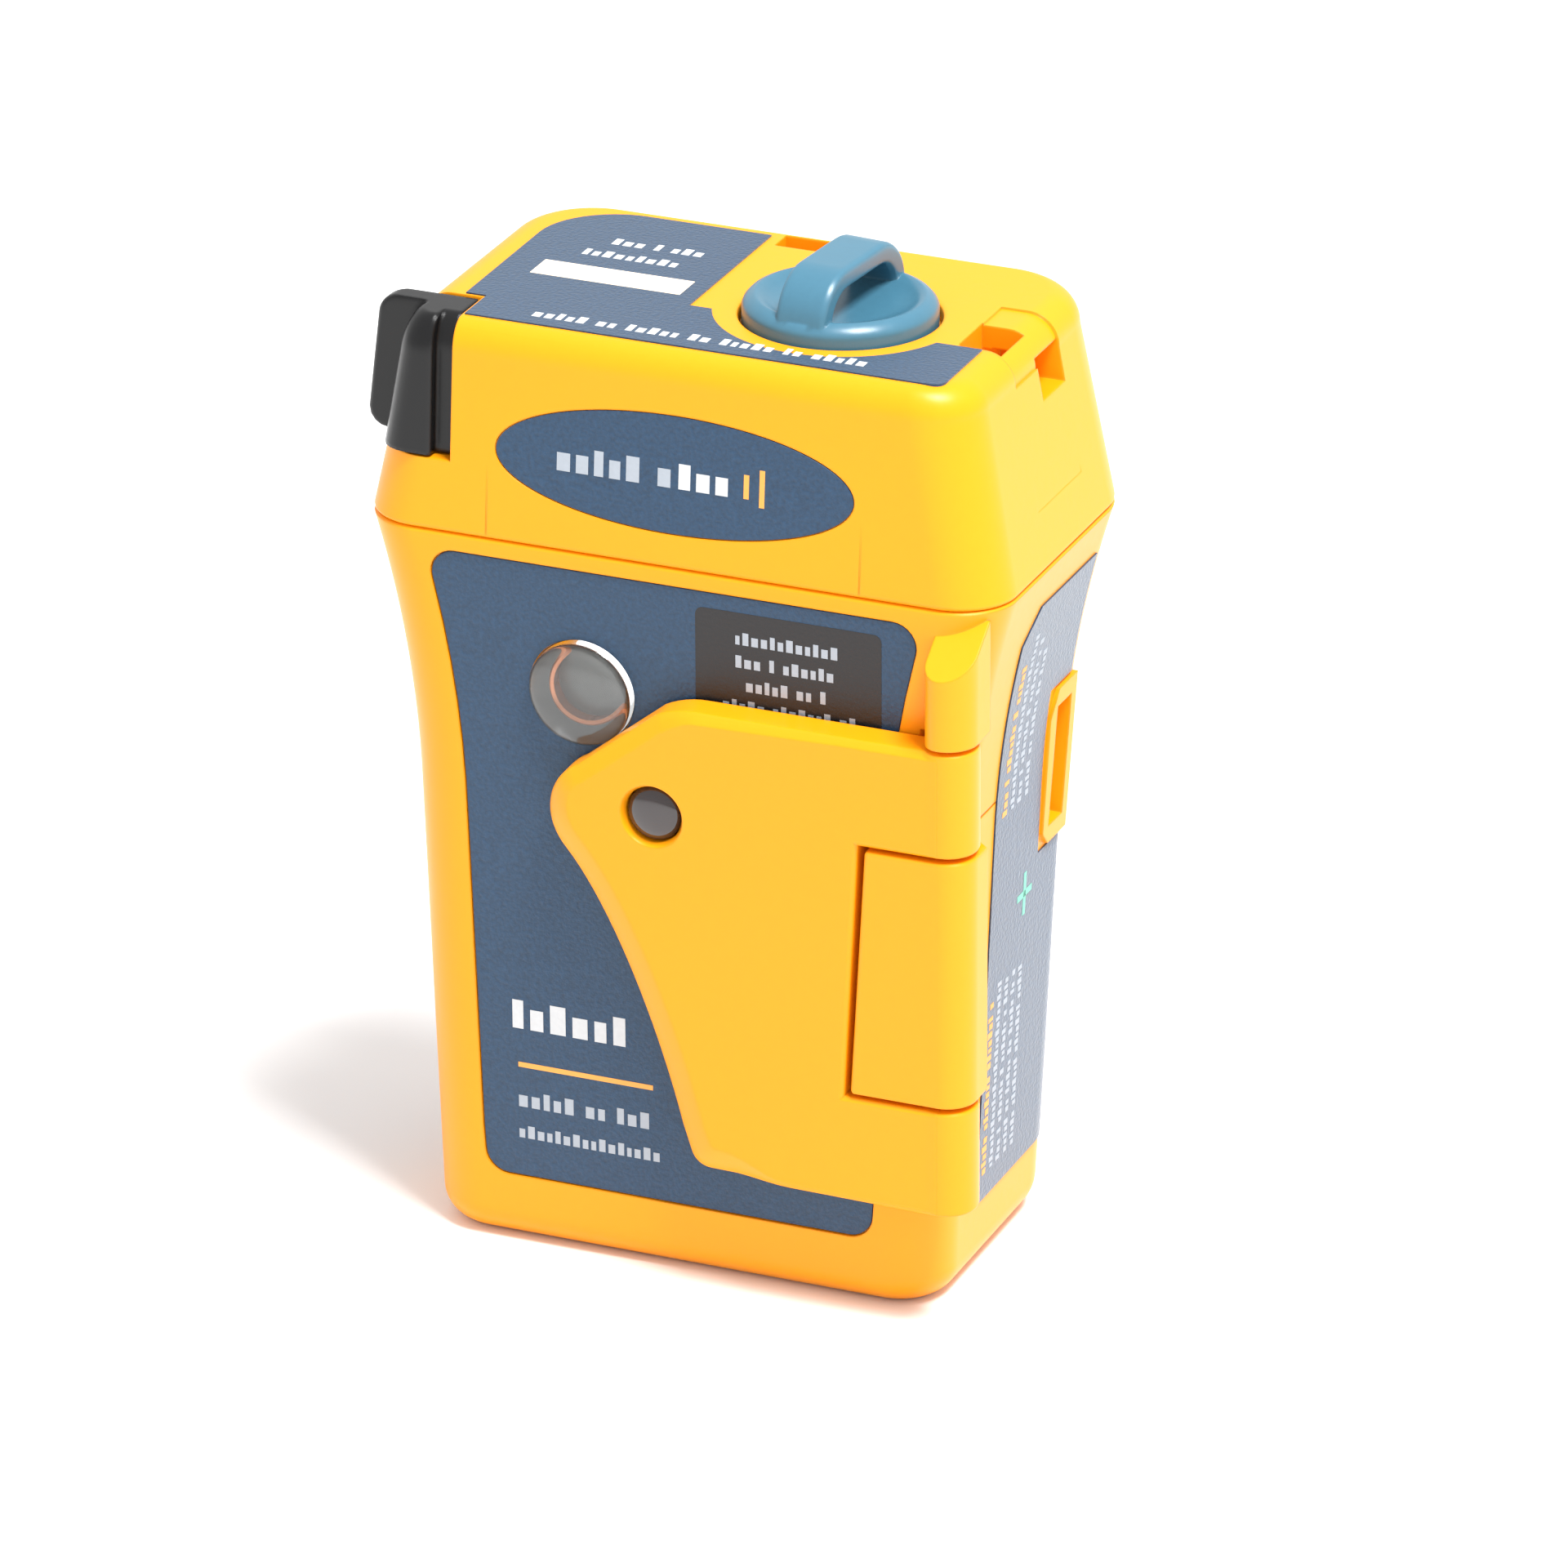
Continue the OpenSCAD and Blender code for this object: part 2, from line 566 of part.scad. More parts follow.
module handle_outline() {
    outer_half = 6.5;
    band_t = 1.5;
    inner_half = outer_half - band_t - 0.1;
    leg_z = knob_top_z - 1;
    r_out = 3.2;
    r_in = 1.6;
    polygon(concat([[outer_half, leg_z]], arc([outer_half - r_out, handle_top_z - r_out], r_out, 0, 90, 8),
        arc([r_out - outer_half, handle_top_z - r_out], r_out, 90, 180, 8), [[-outer_half, leg_z]],
        [[-inner_half, leg_z]], arc([r_in - inner_half, handle_top_z - band_t - r_in], r_in, 180, 90, 6),
        arc([inner_half - r_in, handle_top_z - band_t - r_in], r_in, 90, 0, 6), [[inner_half, leg_z]]));
}
module winder_knob() {
    color([0.33, 0.5, 0.57]) translate([winder_x, winder_y, 0]) union() {
        rotate_extrude() polygon([[0, tray_z - 0.1], [spindle_r, tray_z - 0.1], [spindle_r, groove_z[0]],
            [spindle_r - groove_depth, groove_z[0]], [spindle_r - groove_depth, groove_z[1]],
            [spindle_r, groove_z[1]], [spindle_r, knob_base_z],
            [knob_r, knob_base_z], [knob_r, knob_top_z - 0.4], [knob_r - 0.4, knob_top_z],
            [knob_r - 1.2, knob_top_z], [knob_r - 2, knob_top_z - 0.7], [0, knob_top_z - 0.7]]);
        rotate([0, 0, handle_turn]) translate([0, handle_w / 2, 0]) rotate([90, 0, 0])
            linear_extrude(handle_w) handle_outline();
    }
}
module winder_o_ring() {
    color([0.1, 0.1, 0.1]) translate([winder_x, winder_y, (groove_z[0] + groove_z[1]) / 2]) rotate_extrude()
        translate([spindle_r - groove_depth / 2 + 0.03, 0]) circle(r = 0.26, $fn = 24);
}
module spindle_screw() {
    color([0.75, 0.76, 0.78]) translate([winder_x, winder_y, 0]) rotate_extrude()
        polygon([[0, 57.6], [2.8, 57.6], [2.8, tray_z - 0.15], [0, tray_z - 0.15]]);
}
module antenna_reel() {
    color([0.2, 0.2, 0.22]) translate([winder_x, winder_y, 0]) rotate_extrude()
        polygon([[spindle_r, 61], [reel_r, 61], [reel_r, 61.9], [hub_r, 61.9], [hub_r, 69.2],
            [3.6, 69.2], [3.6, 68.8], [spindle_r, 68.8]]);
}
module antenna_coil() {
    color([0.7, 0.71, 0.72]) translate([winder_x, winder_y, tape_z[0]])
        difference() {
            cylinder(r = coil_r, h = tape_z[1] - tape_z[0]);
            translate([0, 0, -1]) cylinder(r = hub_r, h = 20);
        }
}
module antenna_tape() {
    color([0.7, 0.71, 0.72])
        block([notch[0] - 0.15, winder_x], [tape_y - tape_t, tape_y], tape_z);
}
fin_y = [-10.3, -8.6];
module antenna_tab() {
    color([0.14, 0.14, 0.15]) union() {
        difference() {
            intersection() {
                loft(cap_rings(0.05, seam_z));
                block([-40, notch[0] - 0.15], [-30, notch[1] - 0.3], [notch[2] + 0.2, 90]);
            }
            translate([-25.2, -12.1, 50]) cylinder(r = 3.6, h = 40);
        }
        slab(fin_y[0], fin_y[1]) polygon(concat(
            arc([-24.2, 64.3], 1.5, 180, 270, 4), [[-19, 62.8], [-18.4, 71.6]],
            arc([-23, 70.3], 1.5, 60, 90, 2), arc([-24.2, 70], 1.5, 120, 180, 3)));
    }
}
module tape_guide() {
    color([0.2, 0.2, 0.22]) difference() {
        block([-15.8, -12.4], [tape_y - 1.1, tape_y + 1.5], [62, 70]);
        block([-17, -11], [tape_y - 0.4, tape_y + 0.1], [tape_z[0] - 0.2, tape_z[1] + 0.2]);
    }
}
module reel_tray() {
    color([0.25, 0.25, 0.27]) difference() {
        loft([inset_ring(cap_half_w(tray_z), cap_half_d(tray_z), wall + 0.3, tray_z),
            inset_ring(cap_half_w(tray_z + tray_t), cap_half_d(tray_z + tray_t), wall + 0.3,
                tray_z + tray_t)]);
        translate([winder_x, winder_y, 50]) cylinder(r = spindle_r + clearance, h = 20);
        for (p = tray_screw_pos) translate([p[0], p[1], 50]) cylinder(r = 1.05, h = 20);
    }
}
module tray_screws() {
    color([0.75, 0.76, 0.78]) for (p = tray_screw_pos) translate([p[0], p[1], 0]) union() {
        translate([0, 0, tray_z - 1]) cylinder(r = 1.8, h = 1);
        translate([0, 0, tray_z - 0.1]) cylinder(r = 0.8, h = 5);
    }
}
module antenna_contact() {
    color([0.85, 0.7, 0.35]) union() {
        block([14.5, 16], [-6.2, -5.9], [50, 58.4]);
        block([9.5, 16], [-6.2, -3.2], [58.4, 58.7]);
    }
}

union() {
    lower_case();
    color([1, 0.75, 0.12]) upper_knuckle();
    color([1, 0.75, 0.12]) board_posts();
}
upper_case();
case_gasket();
front_label();
rear_label();
side_label_right();
side_label_left();
deck_label();
cap_badge();
strobe_lens();
strobe_led();
status_light_pipe();
status_led();
flap();
flap_window();
hinge_cover();
hinge_pin();
flap_spring();
on_button();
test_button();
button_membrane();
dome_switches();
main_board();
board_screws();
gps_antenna();
shield_can();
battery_cell_left();
battery_cell_right();
battery_cell_cross();
battery_cradle();
winder_knob();
winder_o_ring();
spindle_screw();
antenna_reel();
antenna_coil();
antenna_tape();
antenna_tab();
tape_guide();
reel_tray();
tray_screws();
antenna_contact();
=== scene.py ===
import math

import bmesh
import bpy
from mathutils import Matrix, Vector


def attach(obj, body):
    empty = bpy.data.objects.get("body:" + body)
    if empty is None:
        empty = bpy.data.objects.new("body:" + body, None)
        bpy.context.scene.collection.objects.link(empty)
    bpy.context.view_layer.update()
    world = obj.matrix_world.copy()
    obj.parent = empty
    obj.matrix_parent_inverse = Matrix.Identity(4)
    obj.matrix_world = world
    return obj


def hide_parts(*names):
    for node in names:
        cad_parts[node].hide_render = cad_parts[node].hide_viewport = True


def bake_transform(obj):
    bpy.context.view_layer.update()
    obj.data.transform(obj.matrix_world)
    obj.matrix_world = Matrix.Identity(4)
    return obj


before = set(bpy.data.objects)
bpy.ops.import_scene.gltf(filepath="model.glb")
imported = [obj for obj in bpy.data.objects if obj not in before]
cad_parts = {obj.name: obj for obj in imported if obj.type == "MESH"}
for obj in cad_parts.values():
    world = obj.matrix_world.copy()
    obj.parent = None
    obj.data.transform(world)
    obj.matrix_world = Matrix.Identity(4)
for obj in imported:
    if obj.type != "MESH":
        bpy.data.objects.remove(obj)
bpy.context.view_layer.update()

# Pocket GPS beacon. Sizes below are in millimetres in the CAD model's frame: +Z up, front faces -Y.
MM = 0.001

# ---------- the case's own dimensions ----------
SEAM_Z = 56.5
BASE_HALF_W = 20.2
BASE_HALF_D = 12.6
SEAM_HALF_D = 14.6
SIDE_TAPER = 0.033
FLARE_START_Z = 36.0
FLARE_W = 2.7
SEAM_HALF_W = BASE_HALF_W + SIDE_TAPER * SEAM_Z + FLARE_W
WALL = 1.7
BASE_FILLET = 2.5
FRONT_R = 4.5
REAR_R = 6.0
SEAM_EDGE_R = 0.4
LEAST_R = 0.4                         # smallest corner radius that an inset outline may have
DECK_Z = 72.4
DECK_ROUND = (2.4, 1.7, 2.4)          # width, depth and height of the deck's edge rounding
CAP_SIDE_LEAN = 0.17
CAP_FACE_LEAN = 0.05
CORNER_STEPS = 14

HINGE = (21.5, -0.7)
KNUCKLE_R = 2.3
PIN_BORE = 0.85
FLAP_BACK = -0.25
FLAP_FRONT = -3.0
FLAP_Z = (10.0, 46.8)
COVER_Z = (18.7, 38.3)
COVER_LEFT = (14.8, 15.9)             # left edge of the hinge cover at its foot and its top
KNUCKLE_GAP = 0.3
UPPER_KNUCKLE_Z = (47.1, 52.5)

LENS = (-7.1, 45.6)
LENS_R = 4.0
WINDOW = (-0.5, 38.2)
WINDOW_R = 2.1
BUTTONS = {"on_button": (6.5, 31.0), "test_button": (8.5, 20.0)}
BUTTON_R = 3.2

NOTCH = (-17.3, -8.3, 61.9)           # corner of the cap that holds the antenna tab: right, rear and floor
WINDER = (7.4, -1.0)
KNOB_R = 7.1
KNOB_Z = (71.6, 73.9)
HANDLE_TOP_Z = 77.0
TAPE_Z = (63.0, 69.4)
TAPE_Y = (-10.5, -10.2)
LABEL_Z = (5.6, 55.1)
LABEL_MARGIN = 5.1
LABEL_SINK = 0.1                      # the face labels sit this much below the plastic round them
LABEL_GAP = 0.1                       # between a face label and the wall of its pocket
BADGE_Z = 63.5
BADGE_SINK = 0.06
DECK_FILM = 0.12                      # the deck label stands this much above the deck
SIDE_FILM = 0.13                      # a side label stands this much off the case
SIDE_LABEL_Y = (-5.2, 8.4)
SIDE_LABEL_Z = (5.9, 53.0)
SOCKET_Z = (30.8, 43.2)
SOCKET_Y = (4.4, 9.2)
LIGHT_BORE_R = 1.45                   # bore for the status light behind the flap's window

SMOOTH_BELOW = 32                     # edges flatter than this many degrees are shaded smooth
WELD = 0.003                          # points nearer than this become one after a cut

FRONT = (Matrix.Translation((0, -BASE_HALF_D, 0))
         @ Matrix.Rotation(math.atan2(SEAM_HALF_D - BASE_HALF_D, SEAM_Z), 4, "X"))
REAR = Matrix.Rotation(math.pi, 4, "Z") @ FRONT
CAP_FRONT = (Matrix.Translation((0, -SEAM_HALF_D, SEAM_Z))
             @ Matrix.Rotation(-math.atan(CAP_FACE_LEAN), 4, "X"))
UPRIGHT = Matrix.Identity(4)
HINGE_AXIS = FRONT @ Matrix.Translation((*HINGE, 0))
WINDER_AXIS = Matrix.Translation((*WINDER, 0))


def half_w(z):
    """Half the lower case's width: a light taper, then a flare towards the seam."""
    flare = max(0.0, z - FLARE_START_Z) / (SEAM_Z - FLARE_START_Z)
    return BASE_HALF_W + SIDE_TAPER * z + FLARE_W * flare ** 2


def half_d(z):
    return BASE_HALF_D + (SEAM_HALF_D - BASE_HALF_D) * z / SEAM_Z


def cap_half_w(z):
    return SEAM_HALF_W - CAP_SIDE_LEAN * (z - SEAM_Z)


def cap_half_d(z):
    return SEAM_HALF_D - CAP_FACE_LEAN * (z - SEAM_Z)


# ---------- outlines ----------

def spread(low, high, steps):
    """steps + 1 even values from low to high."""
    return [low + (high - low) * k / steps for k in range(steps + 1)]


def arc(centre, r, start, end, steps):
    return [(centre[0] + r * math.cos(math.radians(a)), centre[1] + r * math.sin(math.radians(a)))
            for a in spread(start, end, steps)]


def plan_ring(w, d, front_r, rear_r, z):
    """Rounded rectangle seen from above, anticlockwise, with its own radii at the front and the rear."""
    front_r, rear_r = max(front_r, LEAST_R), max(rear_r, LEAST_R)
    corners = [((w - rear_r, d - rear_r), rear_r, 0), ((rear_r - w, d - rear_r), rear_r, 90),
               ((front_r - w, front_r - d), front_r, 180), ((w - front_r, front_r - d), front_r, 270)]
    return [(x, y, z) for centre, r, start in corners
            for x, y in arc(centre, r, start, start + 90, CORNER_STEPS)]


def case_ring(z, inset, at=None):
    """Outline of the lower case at height z, set in from the outside, optionally placed at another height."""
    return plan_ring(half_w(z) - inset, half_d(z) - inset, FRONT_R - inset, REAR_R - inset,
                     z if at is None else at)


def cap_ring(z, inset):
    return plan_ring(cap_half_w(z) - inset, cap_half_d(z) - inset, FRONT_R - inset, REAR_R - inset, z)


def deck_ring(inset, turn):
    """Outline of the cap on its deck rounding: turn 0 is the wall and turn 90 the flat deck."""
    drop, pull = 1 - math.sin(math.radians(turn)), 1 - math.cos(math.radians(turn))
    shrink = DECK_ROUND[1] * pull + inset
    return plan_ring(cap_half_w(DECK_Z) - inset - DECK_ROUND[0] * pull, cap_half_d(DECK_Z) - shrink,
                     FRONT_R - shrink, REAR_R - shrink, DECK_Z - inset - DECK_ROUND[2] * drop)


def case_rings():
    """The lower case's outside: the rounding at the base, the wall and the small rounding at the seam."""
    rings = [case_ring(BASE_FILLET * (1 - math.cos(math.radians(t))),
                       BASE_FILLET * (1 - math.sin(math.radians(t)))) for t in range(0, 90, 10)]
    rings += [case_ring(z, 0) for z in [BASE_FILLET] + spread(FLARE_START_Z, SEAM_Z - SEAM_EDGE_R, 16)]
    return rings + [case_ring(SEAM_Z, SEAM_EDGE_R * (1 - math.cos(math.radians(t))),
                              SEAM_Z - SEAM_EDGE_R * (1 - math.sin(math.radians(t)))) for t in (30, 60, 90)]


def signed_area(outline):
    return sum(a[0] * b[1] - b[0] * a[1] for a, b in zip(outline, outline[1:] + outline[:1])) / 2


def normals_of(outline):
    """Outward unit normal and mitre length factor at each point of a closed outline."""
    turn = 1 if signed_area(outline) > 0 else -1
    result = []
    for k, p in enumerate(outline):
        before, after = Vector(outline[k - 1]), Vector(outline[(k + 1) % len(outline)])
        a, b = (Vector(p) - before).normalized(), (after - Vector(p)).normalized()
        n = Vector((a.y + b.y, -a.x - b.x)).normalized() * turn
        mitre = max(0.35, abs(n.dot(Vector((a.y, -a.x)))))
        result.append((n, 1 / mitre))
    return result


def grown(outline, by):
    """The outline moved outward, or inward for a negative distance."""
    return [tuple(Vector(p) + n * by * mitre) for p, (n, mitre) in zip(outline, normals_of(outline))]


def filleted(points, radii, steps=6):
    """Closed outline with an arc of each radius at each corner, always with the same number of points."""
    result = []
    for k, (p, r) in enumerate(zip(points, radii)):
        p = Vector(p)
        to_before = (Vector(points[k - 1]) - p).normalized()
        to_after = (Vector(points[(k + 1) % len(points)]) - p).normalized()
        half = to_before.angle(to_after) / 2
        centre = p + (to_before + to_after).normalized() * r / math.sin(half)
        first = (p + to_before * r / math.tan(half) - centre).normalized()
        last = (p + to_after * r / math.tan(half) - centre).normalized()
        result += [tuple(centre + first.slerp(last, s).normalized() * r) for s in spread(0, 1, steps)]
    return result


def rectangle(x, z, r=0.0):
    corners = [(x[0], z[0]), (x[1], z[0]), (x[1], z[1]), (x[0], z[1])]
    return filleted(corners, [r] * 4) if r else corners


# ---------- meshes ----------

def piece(name, mesh, matrix=UPRIGHT, soften=SMOOTH_BELOW):
    """Object from a bmesh in millimetres, smooth except at edges sharper than soften degrees."""
    bmesh.ops.recalc_face_normals(mesh, faces=mesh.faces)
    mesh.transform(Matrix.Scale(MM, 4) @ matrix)
    data = bpy.data.meshes.new(name)
    mesh.to_mesh(data)
    mesh.free()
    made = bpy.data.objects.new(name, data)
    bpy.context.scene.collection.objects.link(made)
    smooth(made, soften)
    return made


def smooth(made, degrees):
    made.data.shade_smooth()
    made.data.set_sharp_from_angle(angle=math.radians(degrees))


def add_loft(mesh, rings):
    """Closed skin through rings of equal length, added to an open bmesh."""
    rows = [[mesh.verts.new(p) for p in ring] for ring in rings]
    for low, high in zip(rows, rows[1:]):
        for j in range(len(low)):
            k = (j + 1) % len(low)
            mesh.faces.new((low[j], low[k], high[k], high[j]))
    mesh.faces.new(rows[0][::-1])
    mesh.faces.new(rows[-1])


def loft(name, rings, matrix=UPRIGHT, soften=SMOOTH_BELOW):
    """Solid through rings of equal length."""
    mesh = bmesh.new()
    add_loft(mesh, rings)
    return piece(name, mesh, matrix, soften)


def slab(name, outline, back, front, matrix=FRONT, edge=0.0):
    """Outline in X and Z given thickness along Y. The front edge is rounded by edge."""
    levels = [(back, 0.0), (front + edge, 0.0)]
    if edge:
        levels += [(front + edge * (1 - math.sin(math.radians(t))), edge * (1 - math.cos(math.radians(t))))
                   for t in (30, 60, 90)]
    return loft(name, [[(x, y, z) for x, z in (grown(outline, -inset) if inset else outline)]
                       for y, inset in levels], matrix)


def block(name, x, y, z, matrix=UPRIGHT):
    """Cutting block from three ranges."""
    return loft(name, [[(a, b, level) for a, b in rectangle(x, y)] for level in z], matrix)


def lathe(name, profile, matrix, segments=72, soften=SMOOTH_BELOW):
    """Profile of (radius, height) pairs turned round the local Z axis. Radius 0 closes an end."""
    mesh = bmesh.new()
    rows = []
    for r, h in profile:
        if r == 0:
            rows.append([mesh.verts.new((0, 0, h))] * segments)
        else:
            rows.append([mesh.verts.new((x, y, h))
                         for x, y in arc((0, 0), r, 0, 360 - 360 / segments, segments - 1)])
    for low, high in zip(rows, rows[1:]):
        for j in range(segments):
            k = (j + 1) % segments
            corners = dict.fromkeys((low[j], low[k], high[k], high[j]))
            mesh.faces.new(list(corners))
    bmesh.ops.remove_doubles(mesh, verts=mesh.verts, dist=0.001)
    return piece(name, mesh, matrix, soften)


def outward(x, z, matrix=FRONT):
    """Local frame at a point of a face whose Z axis points out of the case."""
    return matrix @ Matrix.Translation((x, 0, z)) @ Matrix.Rotation(math.pi / 2, 4, "X")


def peg(name, pos, r, back, front, matrix=FRONT):
    """Cylinder standing on a face, from depth back to depth front along Y."""
    return lathe(name, [(0, -back), (r, -back), (r, -front), (0, -front)], outward(*pos, matrix))


def shape(base, parts, operation="DIFFERENCE"):
    """Cuts parts from the base object, joins them to it or keeps the overlap. The parts are used up."""
    for part in parts:
        change = base.modifiers.new(operation, "BOOLEAN")
        change.operation, change.object, change.solver = operation, part, "EXACT"
    shaped = bpy.data.meshes.new_from_object(base.evaluated_get(bpy.context.evaluated_depsgraph_get()))
    base.modifiers.clear()
    mesh = bmesh.new()
    mesh.from_mesh(shaped)
    bmesh.ops.remove_doubles(mesh, verts=mesh.verts, dist=WELD * MM)
    bmesh.ops.dissolve_degenerate(mesh, edges=mesh.edges, dist=WELD * MM)
    mesh.to_mesh(shaped)
    mesh.free()
    before, base.data = base.data, shaped
    bpy.data.meshes.remove(before)
    for part in parts:
        bpy.data.meshes.remove(part.data)
    smooth(base, SMOOTH_BELOW)
    return base


def join(base, part):
    """Adds a part to the base object as a closed skin of its own. The part is used up."""
    mesh = bmesh.new()
    mesh.from_mesh(base.data)
    mesh.from_mesh(part.data)
    mesh.to_mesh(base.data)
    mesh.free()
    bpy.data.meshes.remove(part.data)
    smooth(base, SMOOTH_BELOW)


def settle(made, material, slot, body, replaces=()):
    """Gives a piece its finish, weights its normals and puts it on its body."""
    made.data.materials.clear()
    made.data.materials.append(material)
    weighting = made.modifiers.new("weighting", "WEIGHTED_NORMAL")
    weighting.keep_sharp = True
    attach(made, body)
    if replaces:
        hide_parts(*replaces)
    return made


# ---------- materials ----------

def linear(r, g, b):
    """Linear colour of a display colour given as 0 to 255."""
    return tuple(c / 12.92 if c <= 0.04045 else ((c + 0.055) / 1.055) ** 2.4
                 for c in (r / 255, g / 255, b / 255)) + (1.0,)


def plastic(name, colour, variation=0.06, grain=900, roughness=0.4, bump=0.05, edge=0.0, metal=0.0,
            clear=0.0, coat=0.0, sheen=0.0, reflection=0.5):
    """Procedural finish. One fine noise of scale grain varies the colour and the roughness and gives relief.

    edge is the radius in millimetres by which sharp edges are softened in the shading."""
    made = bpy.data.materials.new(name)
    made.use_nodes = True
    nodes, links = made.node_tree.nodes, made.node_tree.links
    shader = nodes["Principled BSDF"]
    shader.inputs["Metallic"].default_value = metal
    shader.inputs["Transmission Weight"].default_value = clear
    shader.inputs["Specular IOR Level"].default_value = reflection
    shader.inputs["Coat Weight"].default_value = coat
    shader.inputs["Coat Roughness"].default_value = 0.08
    shader.inputs["IOR"].default_value = 1.49
    shader.inputs["Sheen Weight"].default_value = sheen
    shader.inputs["Sheen Roughness"].default_value = 0.45
    coords = nodes.new("ShaderNodeTexCoord")
    noise = nodes.new("ShaderNodeTexNoise")
    noise.inputs["Scale"].default_value = grain
    noise.inputs["Detail"].default_value = 3.0
    links.new(coords.outputs["Object"], noise.inputs["Vector"])
    tint = nodes.new("ShaderNodeMix")
    tint.data_type = "RGBA"
    tint.inputs["A"].default_value = tuple(c * (1 - variation) for c in colour[:3]) + (1,)
    tint.inputs["B"].default_value = tuple(min(1, c * (1 + variation)) for c in colour[:3]) + (1,)
    links.new(noise.outputs["Fac"], tint.inputs["Factor"])
    links.new(tint.outputs["Result"], shader.inputs["Base Color"])
    shine = nodes.new("ShaderNodeMapRange")
    shine.inputs["To Min"].default_value = roughness * 0.9
    shine.inputs["To Max"].default_value = roughness * 1.1
    links.new(noise.outputs["Fac"], shine.inputs["Value"])
    links.new(shine.outputs["Result"], shader.inputs["Roughness"])
    relief = nodes.new("ShaderNodeBump")
    relief.inputs["Strength"].default_value = bump
    relief.inputs["Distance"].default_value = 0.1 * MM
    links.new(noise.outputs["Fac"], relief.inputs["Height"])
    if edge:
        rounding = nodes.new("ShaderNodeBevel")
        rounding.inputs["Radius"].default_value = edge * MM
        links.new(rounding.outputs["Normal"], relief.inputs["Normal"])
    links.new(relief.outputs["Normal"], shader.inputs["Normal"])
    return made


YELLOW = (0.88, 0.31, 0.003, 1)
BLUE = (0.012, 0.042, 0.090, 1)
yellow = plastic("yellow_case", YELLOW, 0.02, 1400, 0.36, 0.04, edge=0.22, reflection=0.28)
yellow_smooth = plastic("yellow_flap", YELLOW, 0.02, 1400, 0.34, 0.03, edge=0.22, reflection=0.28)
label_film = plastic("label_film", BLUE, 0.5, 3200, 0.42, 0.6, sheen=0.3, reflection=0.35)
black_film = plastic("black_film", linear(24, 22, 24), 0.3, 3200, 0.5, 0.4)
tab_rubber = plastic("tab_rubber", linear(14, 14, 15), 0.12, 1600, 0.26, 0.05, edge=0.4, reflection=0.35)
knob_plastic = plastic("knob_plastic", linear(62, 108, 129), 0.05, 1500, 0.3, 0.04, edge=0.3)
lens_clear = plastic("lens_clear", (0.93, 0.95, 0.95, 1), 0.01, 300, 0.03, 0.0, clear=1.0)
window_tint = plastic("window_tint", linear(42, 33, 33), 0.05, 300, 0.06, 0.0, coat=0.6)
white_ink = plastic("white_ink", linear(196, 198, 200), 0.08, 2600, 0.5, 0.2)
grey_ink = plastic("grey_ink", linear(158, 165, 174), 0.08, 2600, 0.5, 0.2)
orange_ink = plastic("orange_ink", linear(232, 158, 70), 0.08, 2600, 0.5, 0.2)
green_ink = plastic("green_ink", linear(110, 190, 165), 0.08, 2600, 0.5, 0.2)
cream_ink = plastic("cream_ink", linear(246, 226, 200), 0.06, 1200, 0.5, 0.1)
steel = plastic("bright_steel", linear(190, 192, 194), 0.08, 500, 0.25, 0.05, metal=1.0)
black_plastic = plastic("black_plastic", linear(38, 38, 41), 0.1, 900, 0.45, 0.06)
black_rubber = plastic("black_rubber", linear(30, 30, 31), 0.15, 900, 0.65, 0.1)
red_plastic = plastic("red_plastic", linear(205, 34, 26), 0.04, 1200, 0.35, 0.03)
grey_plastic = plastic("grey_plastic", linear(92, 98, 104), 0.05, 1200, 0.38, 0.03)
reflector_grey = plastic("reflector_grey", linear(58, 59, 58), 0.1, 700, 0.3, 0.05)
copper_ring = plastic("copper_ring", linear(190, 120, 80), 0.1, 700, 0.25, 0.02, metal=0.6)
silicon = plastic("led_face", linear(84, 86, 84), 0.08, 900, 0.3, 0.03)
board_green = plastic("board_green", linear(28, 92, 52), 0.15, 1200, 0.4, 0.1)
ceramic = plastic("ceramic", linear(206, 196, 172), 0.05, 900, 0.5, 0.05)
cell_wrap = plastic("cell_wrap", linear(214, 196, 70), 0.05, 600, 0.35, 0.03)
gold = plastic("contact_gold", linear(214, 176, 96), 0.05, 600, 0.25, 0.02, metal=1.0)

cad_finishes = {
    "yellow_case": yellow, "label_blue": label_film, "black_tab": tab_rubber, "knob_blue": knob_plastic,
    "clear_lens": lens_clear, "dark_window": window_tint, "black_rubber": black_rubber, "steel": steel,
    "black_plastic": black_plastic, "red_button": red_plastic, "grey_button": grey_plastic,
    "board_green": board_green, "ceramic": ceramic, "led": silicon, "cell_wrap": cell_wrap, "gold": gold}
inner_slots = {
    "case_gasket": "black_rubber", "strobe_led": "led", "status_light_pipe": "clear_lens",
    "status_led": "led", "hinge_pin": "steel", "flap_spring": "steel", "button_membrane": "black_rubber",
    "dome_switches": "steel", "main_board": "board_green", "board_screws": "steel",
    "gps_antenna": "ceramic", "shield_can": "steel", "battery_cell_left": "cell_wrap",
    "battery_cell_right": "cell_wrap", "battery_cell_cross": "cell_wrap",
    "battery_cradle": "black_plastic", "winder_o_ring": "black_rubber", "spindle_screw": "steel",
    "antenna_reel": "black_plastic", "antenna_coil": "steel", "tape_guide": "black_plastic",
    "reel_tray": "black_plastic", "tray_screws": "steel", "antenna_contact": "gold"}
for node, slot_name in inner_slots.items():
    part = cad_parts[node]
    part.data.materials.clear()
    part.data.materials.append(cad_finishes[slot_name])

# ---------- lower case ----------


def label_edge(z):
    return half_w(z) - LABEL_MARGIN


